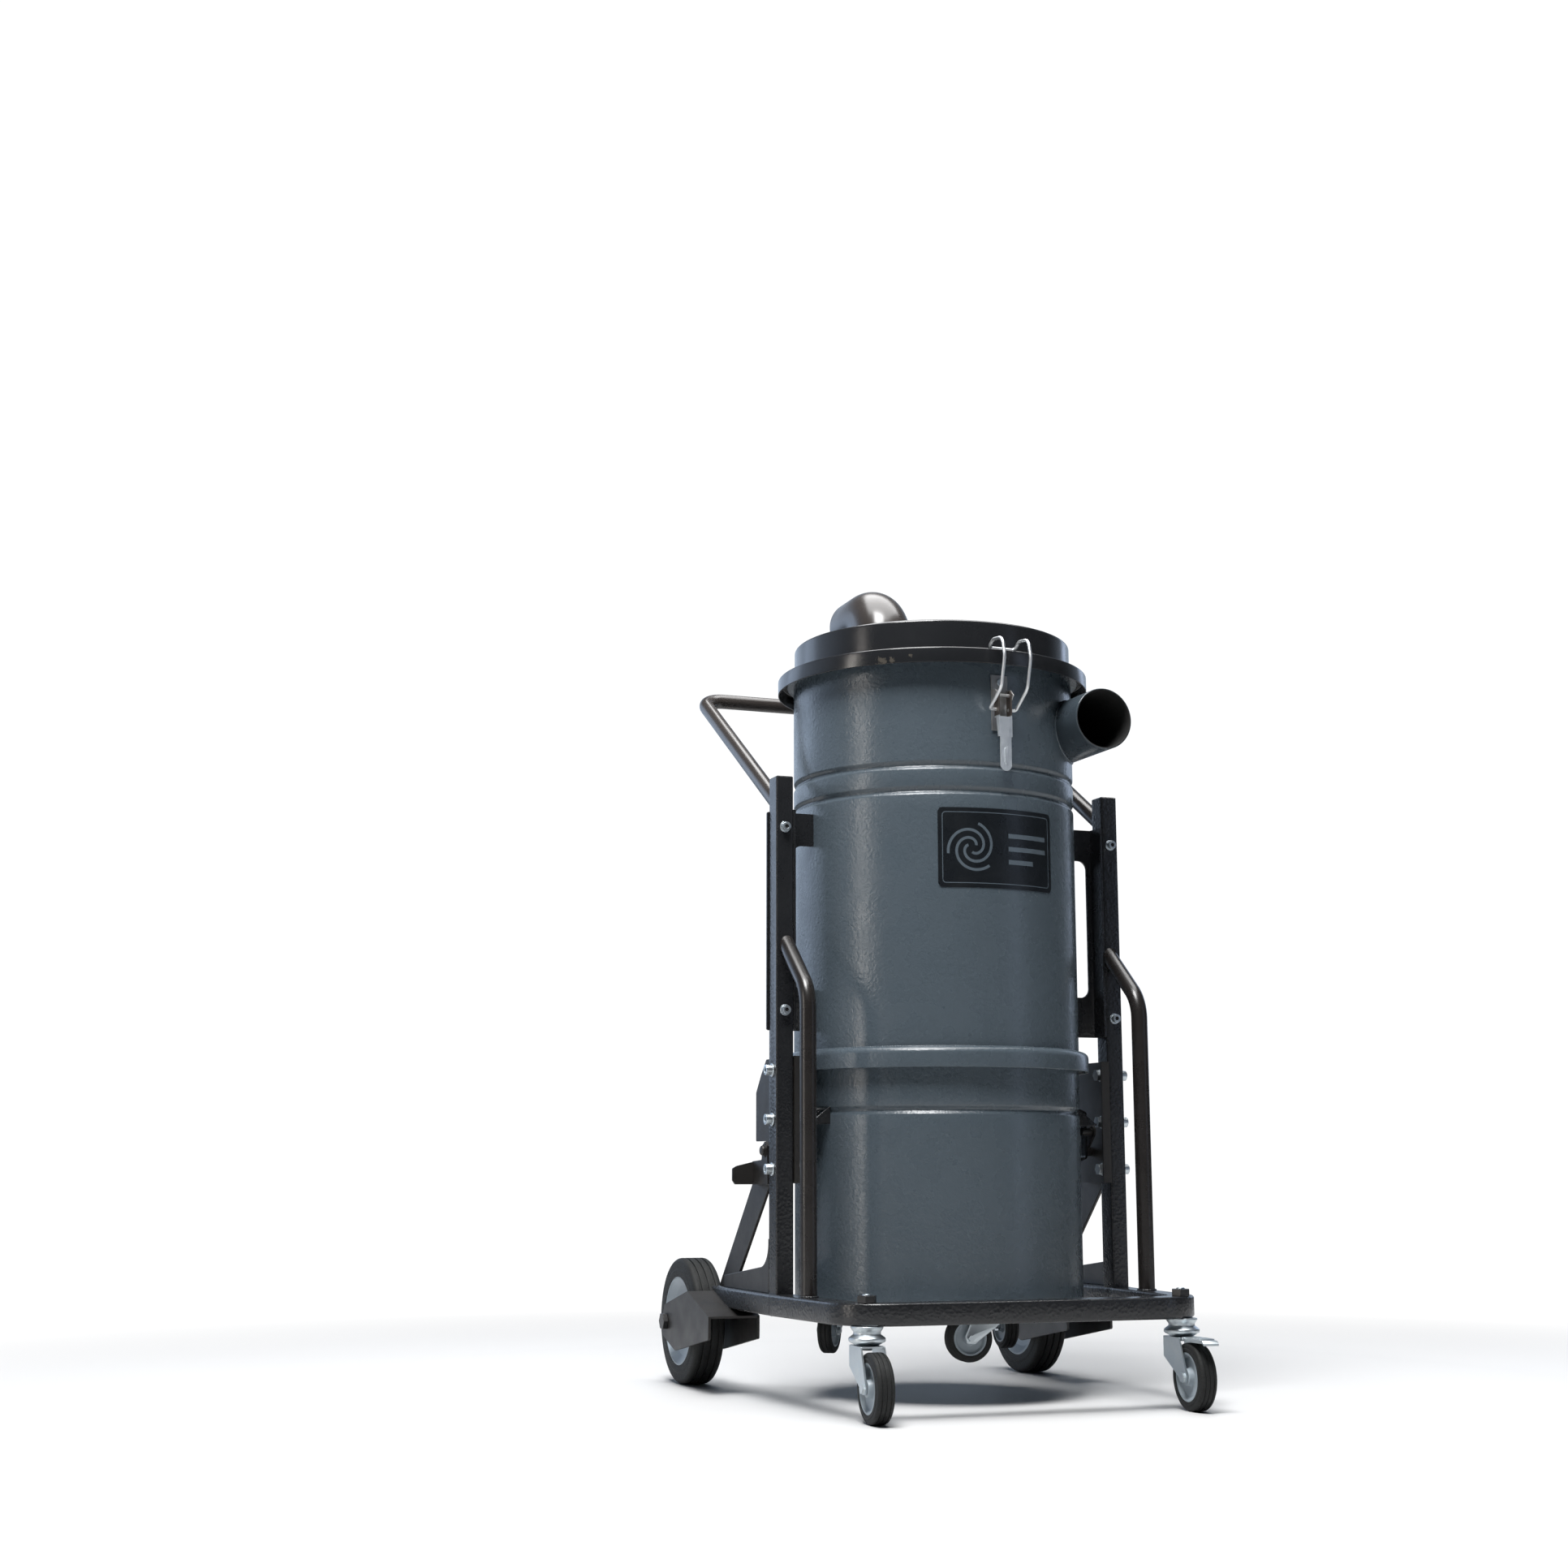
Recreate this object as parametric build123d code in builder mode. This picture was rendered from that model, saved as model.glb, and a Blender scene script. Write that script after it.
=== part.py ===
from build123d import *
import os
from math import cos, radians, sin, sqrt

# Wheeled dust collector: a separator drum stands over a bin that drops to the floor, and a tube
# trolley carries both.  Millimetres.  X runs across the trolley, +Y points at the push handle,
# +Z is up.  The origin is on the floor, under the axis of the drum.

# ---- Drum, lid and bin -------------------------------------------------------------------
SHEET = 2.0
DRUM_R = 225.0
DRUM_FOOT_Z = 506.0
DRUM_TOP_Z = 1119.0
DRUM_GROOVES = (910.0, 949.0)
GROOVE_DEPTH = 4.0
GROOVE_HALF = 7.0
RIM_R = 236.0
RIM_THICK = 3.0
COLLAR_R = 240.0
COLLAR_Z = (492.0, 523.0)
COLLAR_ROUND = 10.0

LID_R = 223.5
LID_TOP_Z = 1177.0
LID_SKIRT_R = 250.5
LID_SKIRT_Z = 1103.0
LID_LEDGE_Z = 1127.0
GASKET_WIDTH = 10.0

BIN_R = 224.0
BIN_FLOOR_Z = 144.0
BIN_TOP_Z = 500.0
BIN_GROOVES = (430.0,)
BIN_GASKET = 5.7

# ---- Air path and filter -----------------------------------------------------------------
PIPE_R = 48.0
PIPE_WALL = 3.0
INLET_X = DRUM_R - PIPE_R
INLET_Z = 1030.0
INLET_MOUTH_Y = -254.0
INLET_END_Y = -40.0
SPIGOT_LENGTH = 66.0
SPIGOT_STEP = 1.0
ELBOW_AT = (-72.3, 31.0)
ELBOW_HEADING = 89.0
ELBOW_AXIS_Z = 1244.4
ELBOW_BEND = 61.5
ELBOW_LEG = 60.0
FILTER_R = 112.0
FILTER_CORE_R = 96.0
FILTER_Z = (800.0, 1104.0)
FILTER_PLEATS = 36
CONE_Z = (540.0, 720.0)
CONE_MOUTH_R = 120.0

PLATE_ANGLE = -87.0
PLATE_ARC = 53.0
PLATE_Z = (761.0, 883.0)
PLATE_THICK = 0.8

# ---- Latches -----------------------------------------------------------------------------
LATCH_ANGLES = {"front": -87.0, "rear": 93.0}
LATCH_PIN = (240.0, 1057.0)
BAIL_PIN = (236.0, 1035.0)
LATCH_PIN_R = 2.5
PIN_CLEARANCE = 0.05
BAIL_HALF = 22.5
WIRE_R = 2.5
BAIL_REST = 0.8

# ---- Trolley frame -----------------------------------------------------------------------
RAIL_Z = (128.7, 160.0)
RAIL_WIDTH = 40.0
RAIL_WALL = 2.5
RAIL_OUTER_X = 305.0
BOW_FRONT_X = 284.3
BOW_FRONT_Y = -338.0
BOW_SEAM_Y = -65.0
BOW_CORNER_R = 85.0

UPRIGHT_X = (268.0, 296.0)
UPRIGHT_Y = (-72.0, -38.0)
UPRIGHT_TOP_Z = 942.0
TUBE_R = 12.5
TUBE_WALL = 2.0
GUARD_X = 278.0
GUARD_Y = -159.0
GUARD_BEND_Z = 603.0
GUARD_END_Z = 680.0
HANDLE_X = 282.0
HANDLE_FOOT_Z = 905.0
HANDLE_BAR_Y = 345.0
HANDLE_BAR_Z = 1146.0
HANDLE_CORNER_R = 40.0

# ---- Plates and bolts on the uprights ----------------------------------------------------
BRACKET_BOLT_X = 282.0
BRACKET_BOLT_Z = (581.0, 862.0)
BRACKET_BOLT_R = 4.0
SIDE_BOLT_Y = -55.0
SIDE_BOLT_Z = (343.0, 417.0, 491.0)
SIDE_BOLT_R = 5.0
DRUM_BRACKET_X = (200.0, 299.0)
DRUM_BRACKET_Z = (552.0, 890.0)
BRACKET_WINDOW_X = (150.0, 256.0)
BRACKET_WINDOW_Z = (616.0, 839.0)
BRACKET_THICK = 4.0
SIDE_PLATE_Z = (322.0, 512.0)
GUSSET_X = (290.0, 296.0)
BRACE_X = (283.0, 288.0)

# ---- Bin lift ----------------------------------------------------------------------------
LIFT_PIVOT = (-15.0, 371.0)
LIFT_SHAFT_R = 7.0
LIFT_CRANK = 47.8
LIFT_CRANK_ANGLE = 40.0
LIFT_PIN_R = 6.0

# ---- Wheels ------------------------------------------------------------------------------
REAR_WHEEL_R = 100.0
REAR_WHEEL_Y = 301.0
REAR_WHEEL_X = 305.0
REAR_WHEEL_WIDTH = 50.0
BRACKET_X = (266.0, 350.0)
BRACKET_PLATE = 4.0
AXLE_R = 8.0

FRONT_STEM = (249.0, -309.0)
FRONT_HEADING = -94.0
FRONT_WHEEL_R = 48.0
FRONT_WHEEL_WIDTH = 27.0
FRONT_TRAIL = 37.0
BIN_STEM_R = 165.0
BIN_CASTERS = {"front": (-90.0, 172.0), "right": (30.0, 267.0), "left": (150.0, 232.0)}
BIN_WHEEL_R = 35.0
BIN_WHEEL_WIDTH = 22.0
BIN_WHEEL_BOTTOM_Z = 62.0
BIN_TRAIL = 26.0

SIDES = {"left": -1, "right": 1}


def write(piece, name):
    """Label a finished piece and write it as its own STEP file."""
    piece.part.label = name
    export_step(piece.part, f"parts/{name}.step")


def outline(plane, points, radius=0.0):
    """A closed polygon on a plane, with all its corners rounded if a radius is given."""
    with BuildSketch(plane) as shape:
        with BuildLine():
            Polyline(*points, close=True)
        make_face()
        if radius:
            fillet(shape.vertices(), radius)
    return shape.sketch


def disc(plane, radius, hole=0.0):
    """A round face, or a ring if a hole radius is given."""
    with BuildSketch(plane) as shape:
        Circle(radius)
        if hole:
            Circle(hole, mode=Mode.SUBTRACT)
    return shape.sketch


def x_plane(side, distance, y=0.0, z=0.0):
    """A plane facing +X at a distance out on one side; its axes are Y and Z."""
    return Plane((side * distance, y, z), x_dir=(0, 1, 0), z_dir=(1, 0, 0))


def radial(angle):
    """The unit vector that points out of the drum at an angle in the XY plane."""
    return Vector(cos(radians(angle)), sin(radians(angle)), 0)


def tangent(angle):
    """The unit vector round the drum, a quarter turn on from the radial one."""
    return Vector(-sin(radians(angle)), cos(radians(angle)), 0)


def radius_height_plane(angle, centre=(0, 0, 0)):
    """A vertical plane through a centre: its first axis points out at the angle, its second up."""
    return Plane(centre, x_dir=radial(angle), z_dir=-tangent(angle))


def wall_section(radius, foot, top, grooves):
    """Half section of a sheet wall with pressed grooves, drawn as radius against height."""
    with BuildSketch(Plane.XZ) as wall:
        with BuildLine():
            for r in (radius, radius - SHEET):
                z = foot
                for groove in grooves:
                    low, high = groove - GROOVE_HALF, groove + GROOVE_HALF
                    Line((r, z), (r, low))
                    ThreePointArc((r, low), (r - GROOVE_DEPTH, groove), (r, high))
                    z = high
                Line((r, z), (r, top))
            Line((radius, foot), (radius - SHEET, foot))
            Line((radius, top), (radius - SHEET, top))
        make_face()
    return wall.sketch


def ring_section(r_in, r_out, z_low, z_high):
    """Half section of a plain ring, drawn as radius against height."""
    return outline(Plane.XZ, ((r_in, z_low), (r_out, z_low), (r_out, z_high), (r_in, z_high)))


# ==== Separator drum ======================================================================
def build_drum():
    mouth = Plane((INLET_X, INLET_MOUTH_Y, INLET_Z), x_dir=(1, 0, 0), z_dir=(0, 1, 0))
    with BuildPart() as drum:
        revolve(wall_section(DRUM_R, DRUM_FOOT_Z, DRUM_TOP_Z, DRUM_GROOVES), axis=Axis.Z)
        rim = ring_section(DRUM_R - SHEET, RIM_R, DRUM_TOP_Z - RIM_THICK, DRUM_TOP_Z)
        revolve(rim, axis=Axis.Z)
        bore = disc(mouth, PIPE_R - PIPE_WALL)
        extrude(bore, amount=INLET_END_Y - INLET_MOUTH_Y, mode=Mode.SUBTRACT)
    write(drum, "separator_drum")

    with BuildPart() as collar:
        with BuildSketch(Plane.XZ) as section:
            with BuildLine():
                low, high = COLLAR_Z
                outer = FilletPolyline((DRUM_R, high), (COLLAR_R, high), (COLLAR_R, low), radius=COLLAR_ROUND)
                inner = FilletPolyline(
                    (DRUM_R, high - SHEET), (COLLAR_R - SHEET, high - SHEET), (COLLAR_R - SHEET, low),
                    radius=COLLAR_ROUND - SHEET)
                Line(outer @ 0, inner @ 0)
                Line(outer @ 1, inner @ 1)
            make_face()
        revolve(axis=Axis.Z)
    write(collar, "drum_collar")

    # The hose end of the tube is sized; behind it the wall is a millimetre thicker inside and out.
    with BuildPart() as inlet:
        extrude(disc(mouth, PIPE_R, PIPE_R - PIPE_WALL), amount=SPIGOT_LENGTH)
        body = disc(mouth.offset(SPIGOT_LENGTH), PIPE_R + SPIGOT_STEP, PIPE_R - PIPE_WALL - SPIGOT_STEP)
        extrude(body, amount=INLET_END_Y - INLET_MOUTH_Y - SPIGOT_LENGTH)
        drum_core = disc(Plane.XY.offset(INLET_Z - 2 * PIPE_R), DRUM_R)
        extrude(drum_core, amount=4 * PIPE_R, mode=Mode.SUBTRACT)
    write(inlet, "inlet_tube")

    with BuildPart() as name_plate:
        low, high = PLATE_Z
        face = Plane((0, 0, (low + high) / 2), x_dir=tangent(PLATE_ANGLE), z_dir=radial(PLATE_ANGLE))
        with BuildSketch(face):
            RectangleRounded(2 * DRUM_R * sin(radians(PLATE_ARC / 2)), high - low, 6)
        extrude(amount=2 * DRUM_R)
        shell = disc(Plane.XY.offset(low - 1), DRUM_R + PLATE_THICK, DRUM_R)
        extrude(shell, amount=high - low + 2, mode=Mode.INTERSECT)
    write(name_plate, "blank_name_plate")


def build_cyclone_and_filter():
    low, high = CONE_Z
    r_out = DRUM_R - SHEET - 0.5
    with BuildPart() as cone:
        wall = ((r_out, high), (r_out, high - 12), (CONE_MOUTH_R, low),
                (CONE_MOUTH_R - SHEET, low), (r_out - SHEET, high - 12), (r_out - SHEET, high))
        revolve(outline(Plane.XZ, wall), axis=Axis.Z)
    write(cone, "cyclone_cone")

    foot, top = FILTER_Z
    with BuildPart() as filter_sleeve:
        extrude(disc(Plane.XY.offset(foot), FILTER_R - 4, FILTER_CORE_R), amount=top - foot)
        with BuildSketch(Plane.XY.offset(foot)):
            with PolarLocations(FILTER_R - 3, FILTER_PLEATS):
                Rectangle(6, 4)
        extrude(amount=top - foot)
    write(filter_sleeve, "filter_cartridge")

    with BuildPart() as filter_cap:
        extrude(disc(Plane.XY.offset(foot - 8), FILTER_R + 3), amount=8)
    write(filter_cap, "filter_end_cap")

    with BuildPart() as tube_sheet:
        extrude(disc(Plane.XY.offset(top), DRUM_R - SHEET, FILTER_CORE_R), amount=SHEET + 1)
    write(tube_sheet, "filter_tube_sheet")


def build_lid():
    with BuildPart() as lid:
        inner_r = LID_SKIRT_R - SHEET
        section = (
            (0, LID_TOP_Z), (LID_R, LID_TOP_Z), (LID_R, LID_LEDGE_Z), (LID_SKIRT_R, LID_LEDGE_Z),
            (LID_SKIRT_R, LID_SKIRT_Z), (inner_r, LID_SKIRT_Z), (inner_r, LID_LEDGE_Z - SHEET),
            (LID_R - SHEET, LID_LEDGE_Z - SHEET), (LID_R - SHEET, LID_TOP_Z - SHEET), (0, LID_TOP_Z - SHEET))
        revolve(outline(Plane.XZ, section), axis=Axis.Z)
        top_edges = lid.edges().filter_by(GeomType.CIRCLE).group_by(Axis.Z)[-1]
        fillet(top_edges, SHEET * 0.9)
        with Locations((*ELBOW_AT, LID_TOP_Z - SHEET / 2)):
            Cylinder(PIPE_R, 4 * SHEET, mode=Mode.SUBTRACT)
    write(lid, "lid")

    with BuildPart() as gasket:
        low, high = DRUM_TOP_Z, LID_LEDGE_Z - SHEET
        revolve(ring_section(RIM_R - GASKET_WIDTH, RIM_R, low, high), axis=Axis.Z)
    write(gasket, "lid_gasket")

    side = radius_height_plane(ELBOW_HEADING, (*ELBOW_AT, 0))
    foot = LID_TOP_Z - 6 * SHEET
    with BuildPart() as elbow:
        with BuildLine(side) as path:
            up = Line((0, foot), (0, ELBOW_AXIS_Z - ELBOW_BEND))
            bend = RadiusArc(up @ 1, (ELBOW_BEND, ELBOW_AXIS_Z), ELBOW_BEND)
            Line(bend @ 1, (ELBOW_BEND + ELBOW_LEG, ELBOW_AXIS_Z))
        sweep(disc(Plane((*ELBOW_AT, foot)), PIPE_R, PIPE_R - PIPE_WALL), path=path.wire())
    write(elbow, "outlet_elbow")


# ==== Latches =============================================================================
def latch_slab(angle, points, near, far, radius=0.0):
    """Two mirrored cheek plates, or one plate across the middle if near is zero."""
    face = outline(radius_height_plane(angle), points, radius)
    across = tangent(angle)
    if not near:
        return extrude(face, amount=far, both=True)
    plates = []
    for sign in (-1, 1):
        moved = face.moved(Location(across * (sign * near)))
        plates.append(extrude(moved, amount=far - near, dir=across * sign))
    return plates


def build_latch(name, angle):
    pin_r, pin_z = LATCH_PIN
    tie_r, tie_z = BAIL_PIN
    across = tangent(angle)
    pin_plane = Plane(radial(angle) * pin_r + Vector(0, 0, pin_z), x_dir=radial(angle), z_dir=across)
    tie_plane = Plane(radial(angle) * tie_r + Vector(0, 0, tie_z), x_dir=radial(angle), z_dir=across)

    cheek = ((DRUM_R + 2, 1068), (pin_r, 1066), (pin_r + 8, pin_z), (pin_r, 1048), (DRUM_R + 2, 1046))
    with BuildPart() as base:
        back = ((DRUM_R, 1004), (DRUM_R + 2, 1004), (DRUM_R + 2, 1091), (DRUM_R, 1091))
        latch_slab(angle, back, 0, 14)
        latch_slab(angle, cheek, 12, 14)
        extrude(disc(pin_plane, LATCH_PIN_R), amount=14.5, both=True)
    write(base, f"{name}_latch_base")

    sides = ((pin_r - 9, 1023), (pin_r + 5, 1023), (pin_r + 5, pin_z + 3), (pin_r, pin_z + 8),
             (pin_r - 6, pin_z + 6), (pin_r - 9, pin_z))
    cover = ((pin_r + 3, 992), (pin_r + 5, 992), (pin_r + 5, 1023), (pin_r + 3, 1023))
    with BuildPart() as lever:
        latch_slab(angle, sides, 9.5, 11.5)
        latch_slab(angle, cover, 0, 11.5)
        skirt = ((pin_r - 4, 1023), (pin_r + 4, 1023), (pin_r + 4, 992), (pin_r + 1, 992))
        latch_slab(angle, skirt, 9.5, 11.5)
        tongue_plane = Plane(radial(angle) * (pin_r + 3), x_dir=across, z_dir=radial(angle))
        with BuildSketch(tongue_plane):
            with Locations((0, 970)):
                Rectangle(19, 46)
            with Locations((0, 948.5)):
                Circle(9.5)
        extrude(amount=2)
        with BuildSketch(tongue_plane.offset(1.4)):
            with Locations((0, 962)):
                SlotOverall(25, 5, rotation=90)
        extrude(amount=1.4)
        extrude(disc(pin_plane, LATCH_PIN_R + PIN_CLEARANCE), amount=14, both=True, mode=Mode.SUBTRACT)
        extrude(disc(tie_plane, WIRE_R + PIN_CLEARANCE), amount=14, both=True, mode=Mode.SUBTRACT)
    write(lever, f"{name}_latch_handle")

    bar = (tie_r + 1, LID_LEDGE_Z + WIRE_R + BAIL_REST)
    leg = [(tie_r, tie_z), (tie_r + 38, 1062), (tie_r + 50, 1108), (tie_r + 26, 1149), bar]

    def place(across_by, point):
        return radial(angle) * point[0] + across * across_by + Vector(0, 0, point[1])

    route = [place(-9.7, leg[0])]
    route += [place(-BAIL_HALF, p) for p in leg]
    route += [place(BAIL_HALF, p) for p in reversed(leg)]
    route.append(place(9.7, leg[0]))
    with BuildPart() as bail:
        with BuildLine() as path:
            FilletPolyline(*route, radius=6)
        sweep(disc(Plane(route[0], z_dir=-across), WIRE_R), path=path.wire())
    write(bail, f"{name}_latch_bail")


def build_latch_screws():
    with BuildPart() as screws:
        for angle in LATCH_ANGLES.values():
            for z in (1012, 1079):
                seat = Plane(radial(angle) * (DRUM_R + 2) + Vector(0, 0, z), z_dir=radial(angle))
                extrude(disc(seat, 5.5, 2.0), amount=3.2)
                extrude(disc(seat, 2.0), amount=1.5)
    write(screws, "latch_screws")


# ==== Trolley frame =======================================================================
def bow_face(plane, inset):
    """The frame's outline seen from above, drawn in by an inset, its rear end far past the rails."""
    rear = 300.0
    points = ((RAIL_OUTER_X, rear), (RAIL_OUTER_X, BOW_SEAM_Y), (BOW_FRONT_X, BOW_FRONT_Y),
              (-BOW_FRONT_X, BOW_FRONT_Y), (-RAIL_OUTER_X, BOW_SEAM_Y), (-RAIL_OUTER_X, rear))
    with BuildSketch(plane) as shape:
        with BuildLine():
            Polyline(*points, close=True)
        make_face()
        fillet(shape.vertices().group_by(Axis.Y)[0], BOW_CORNER_R)
        if inset:
            offset(amount=-inset, mode=Mode.REPLACE)
    return shape.sketch


def build_base_frame():
    low, high = RAIL_Z
    with BuildPart() as base:
        extrude(bow_face(Plane.XY.offset(low), 0), amount=high - low)
        extrude(bow_face(Plane.XY.offset(low), RAIL_WIDTH), amount=high - low, mode=Mode.SUBTRACT)
        hollow = Plane.XY.offset(low + RAIL_WALL)
        depth = high - low - 2 * RAIL_WALL
        with BuildSketch(hollow) as channel:
            add(bow_face(hollow, RAIL_WALL))
            add(bow_face(hollow, RAIL_WIDTH - RAIL_WALL), mode=Mode.SUBTRACT)
        extrude(channel.sketch, amount=depth, mode=Mode.SUBTRACT)
        foot_y, web_z, slope = 84.0, 120.0, 33.0 / 106.0
        below, above = low - 1, high + 1
        beyond = ((foot_y + (below - web_z) / slope, below), (foot_y + (above - web_z) / slope, above),
                  (400, above), (400, below))
        extrude(outline(Plane.YZ, beyond), amount=400, both=True, mode=Mode.SUBTRACT)
        for side in SIDES.values():
            with Locations((side * FRONT_STEM[0], FRONT_STEM[1], (low + high) / 2)):
                Cylinder(6, high - low, mode=Mode.SUBTRACT)
    write(base, "base_frame")


def build_wheel_bracket(name, side):
    near, far = BRACKET_X
    cheek = ((84, 120), (84, 85), (253, 57), (318, 77), (323, 100), (311, 126), (190, 153))
    web = ((84, 120), (190, 153), (191.2, 149.2), (85.2, 116.2))
    with BuildPart() as bracket:
        for x in (near, far - BRACKET_PLATE):
            extrude(outline(x_plane(side, x), cheek, 4), amount=BRACKET_PLATE, dir=(side, 0, 0))
        extrude(outline(x_plane(side, near), web), amount=far - near, dir=(side, 0, 0))
        hub = disc(x_plane(side, near - 1, REAR_WHEEL_Y, REAR_WHEEL_R), AXLE_R)
        extrude(hub, amount=far - near + 2, dir=(side, 0, 0), mode=Mode.SUBTRACT)
    write(bracket, f"{name}_wheel_bracket")


def build_upright(name, side):
    near, far = UPRIGHT_X
    front, rear = UPRIGHT_Y
    centre = (side * (near + far) / 2, (front + rear) / 2)
    foot = Plane((*centre, RAIL_Z[1]))
    height = UPRIGHT_TOP_Z - RAIL_Z[1]
    with BuildPart() as upright:
        with BuildSketch(foot):
            Rectangle(far - near, rear - front)
        extrude(amount=height)
        chamfer(upright.edges().group_by(Axis.Z)[-1], 2)
        fillet(upright.edges().filter_by(Axis.Z), 3)
        with BuildSketch(foot):
            RectangleRounded(far - near - 2 * SHEET, rear - front - 2 * SHEET, 1)
        extrude(amount=height - 2 * SHEET, mode=Mode.SUBTRACT)
        for z in BRACKET_BOLT_Z:
            screw = disc(Plane((side * BRACKET_BOLT_X, front - 1, z), z_dir=(0, 1, 0)), BRACKET_BOLT_R)
            extrude(screw, amount=rear - front + 2, mode=Mode.SUBTRACT)
        for z in SIDE_BOLT_Z:
            screw = disc(x_plane(side, near - 1, SIDE_BOLT_Y, z), SIDE_BOLT_R)
            extrude(screw, amount=far - near + 2, dir=(side, 0, 0), mode=Mode.SUBTRACT)
    write(upright, f"{name}_upright")


def build_gussets():
    back = UPRIGHT_Y[1]
    with BuildPart() as gussets:
        for side in SIDES.values():
            with BuildSketch(x_plane(side, GUSSET_X[0])) as web:
                with BuildLine():
                    rise = Line((168, 178), (0, 197))
                    curve = RadiusArc(rise @ 1, (back + 2, 240), 38)
                    Polyline(curve @ 1, (back, 240), (back, RAIL_Z[1]), (168, RAIL_Z[1]), rise @ 0)
                make_face()
            extrude(web.sketch, amount=GUSSET_X[1] - GUSSET_X[0], dir=(side, 0, 0))
    write(gussets, "gussets")


def build_braces():
    back = UPRIGHT_Y[1]
    with BuildPart() as braces:
        for side in SIDES.values():
            bar = ((back, 338), (41, 338), (215, RAIL_Z[1]), (143, RAIL_Z[1]))
            extrude(outline(x_plane(side, BRACE_X[0]), bar), amount=BRACE_X[1] - BRACE_X[0], dir=(side, 0, 0))
    write(braces, "braces")


def build_guard_rod(name, side):
    x = side * GUARD_X
    front = UPRIGHT_Y[0]
    with BuildPart() as guard:
        with BuildLine() as path:
            FilletPolyline((x, GUARD_Y, RAIL_Z[1]), (x, GUARD_Y, GUARD_BEND_Z),
                           (x, front - 4, GUARD_END_Z), radius=60)
        sweep(disc(Plane((x, GUARD_Y, RAIL_Z[1])), TUBE_R), path=path.wire())
        behind = outline(Plane.YZ, ((front, 500), (front, 800), (0, 800), (0, 500)))
        extrude(behind, amount=400, both=True, mode=Mode.SUBTRACT)
    write(guard, f"{name}_guard_rod")


def build_push_handle():
    foot = UPRIGHT_Y[1]
    start = Vector(-HANDLE_X, foot, HANDLE_FOOT_Z)
    corner = Vector(-HANDLE_X, HANDLE_BAR_Y, HANDLE_BAR_Z)
    lead = (corner - start).normalized()
    tail = start - lead * 10
    with BuildPart() as handle:
        with BuildLine() as path:
            FilletPolyline(tail, corner, (HANDLE_X, corner.Y, corner.Z), (HANDLE_X, tail.Y, tail.Z),
                           radius=HANDLE_CORNER_R)
        sweep(disc(Plane(tail, z_dir=lead), TUBE_R, TUBE_R - TUBE_WALL), path=path.wire())
        ahead = outline(Plane.YZ, ((foot, 800), (foot, 1000), (foot - 80, 1000), (foot - 80, 800)))
        extrude(ahead, amount=400, both=True, mode=Mode.SUBTRACT)
    write(handle, "push_handle")


# ==== Plates and bolts on the uprights ====================================================

def build_drum_bracket(name, side):
    front, rear = UPRIGHT_Y
    thick = BRACKET_THICK
    foot, top = DRUM_BRACKET_Z

    def across(x_range, z_range, corner, **settings):
        with Locations((side * sum(x_range) / 2, sum(z_range) / 2)):
            RectangleRounded(x_range[1] - x_range[0], z_range[1] - z_range[0], corner, **settings)

    with BuildPart() as bracket:
        with BuildSketch(Plane.XZ.offset(-rear)) as web:
            across(DRUM_BRACKET_X, DRUM_BRACKET_Z, 3)
            across(BRACKET_WINDOW_X, BRACKET_WINDOW_Z, 15, mode=Mode.SUBTRACT)
        extrude(web.sketch, amount=thick, dir=(0, 1, 0))
        leg = ((front, foot), (rear + thick, foot), (rear + thick, top), (front, top))
        extrude(outline(x_plane(side, UPRIGHT_X[0] - thick), leg), amount=thick, dir=(side, 0, 0))
        extrude(disc(Plane.XY.offset(500), DRUM_R), amount=450, mode=Mode.SUBTRACT)
        for z in BRACKET_BOLT_Z:
            screw = disc(Plane((side * BRACKET_BOLT_X, rear - 1, z), z_dir=(0, 1, 0)), BRACKET_BOLT_R)
            extrude(screw, amount=thick + 2, mode=Mode.SUBTRACT)
    write(bracket, f"{name}_drum_bracket")


def build_side_plate(name, side):
    near = UPRIGHT_X[0] - BRACKET_THICK
    front = UPRIGHT_Y[0]
    pivot_y, pivot_z = LIFT_PIVOT
    foot, top = SIDE_PLATE_Z
    plate = ((front, foot), (50, foot), (50, 386), (97, 386), (97, 462), (74, 489), (50, top), (front, top))
    with BuildPart() as side_plate:
        extrude(outline(x_plane(side, near), plate, 3), amount=BRACKET_THICK, dir=(side, 0, 0))
        flange = ((front - 4, foot), (front, foot), (front, top), (front - 4, top))
        extrude(outline(x_plane(side, near - 10), flange), amount=14, dir=(side, 0, 0))
        shaft = disc(x_plane(side, near - 1, pivot_y, pivot_z), LIFT_SHAFT_R + PIN_CLEARANCE)
        extrude(shaft, amount=6, dir=(side, 0, 0), mode=Mode.SUBTRACT)
        for z in SIDE_BOLT_Z:
            screw = disc(x_plane(side, near - 1, SIDE_BOLT_Y, z), SIDE_BOLT_R)
            extrude(screw, amount=6, dir=(side, 0, 0), mode=Mode.SUBTRACT)
    write(side_plate, f"{name}_side_plate")


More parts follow.
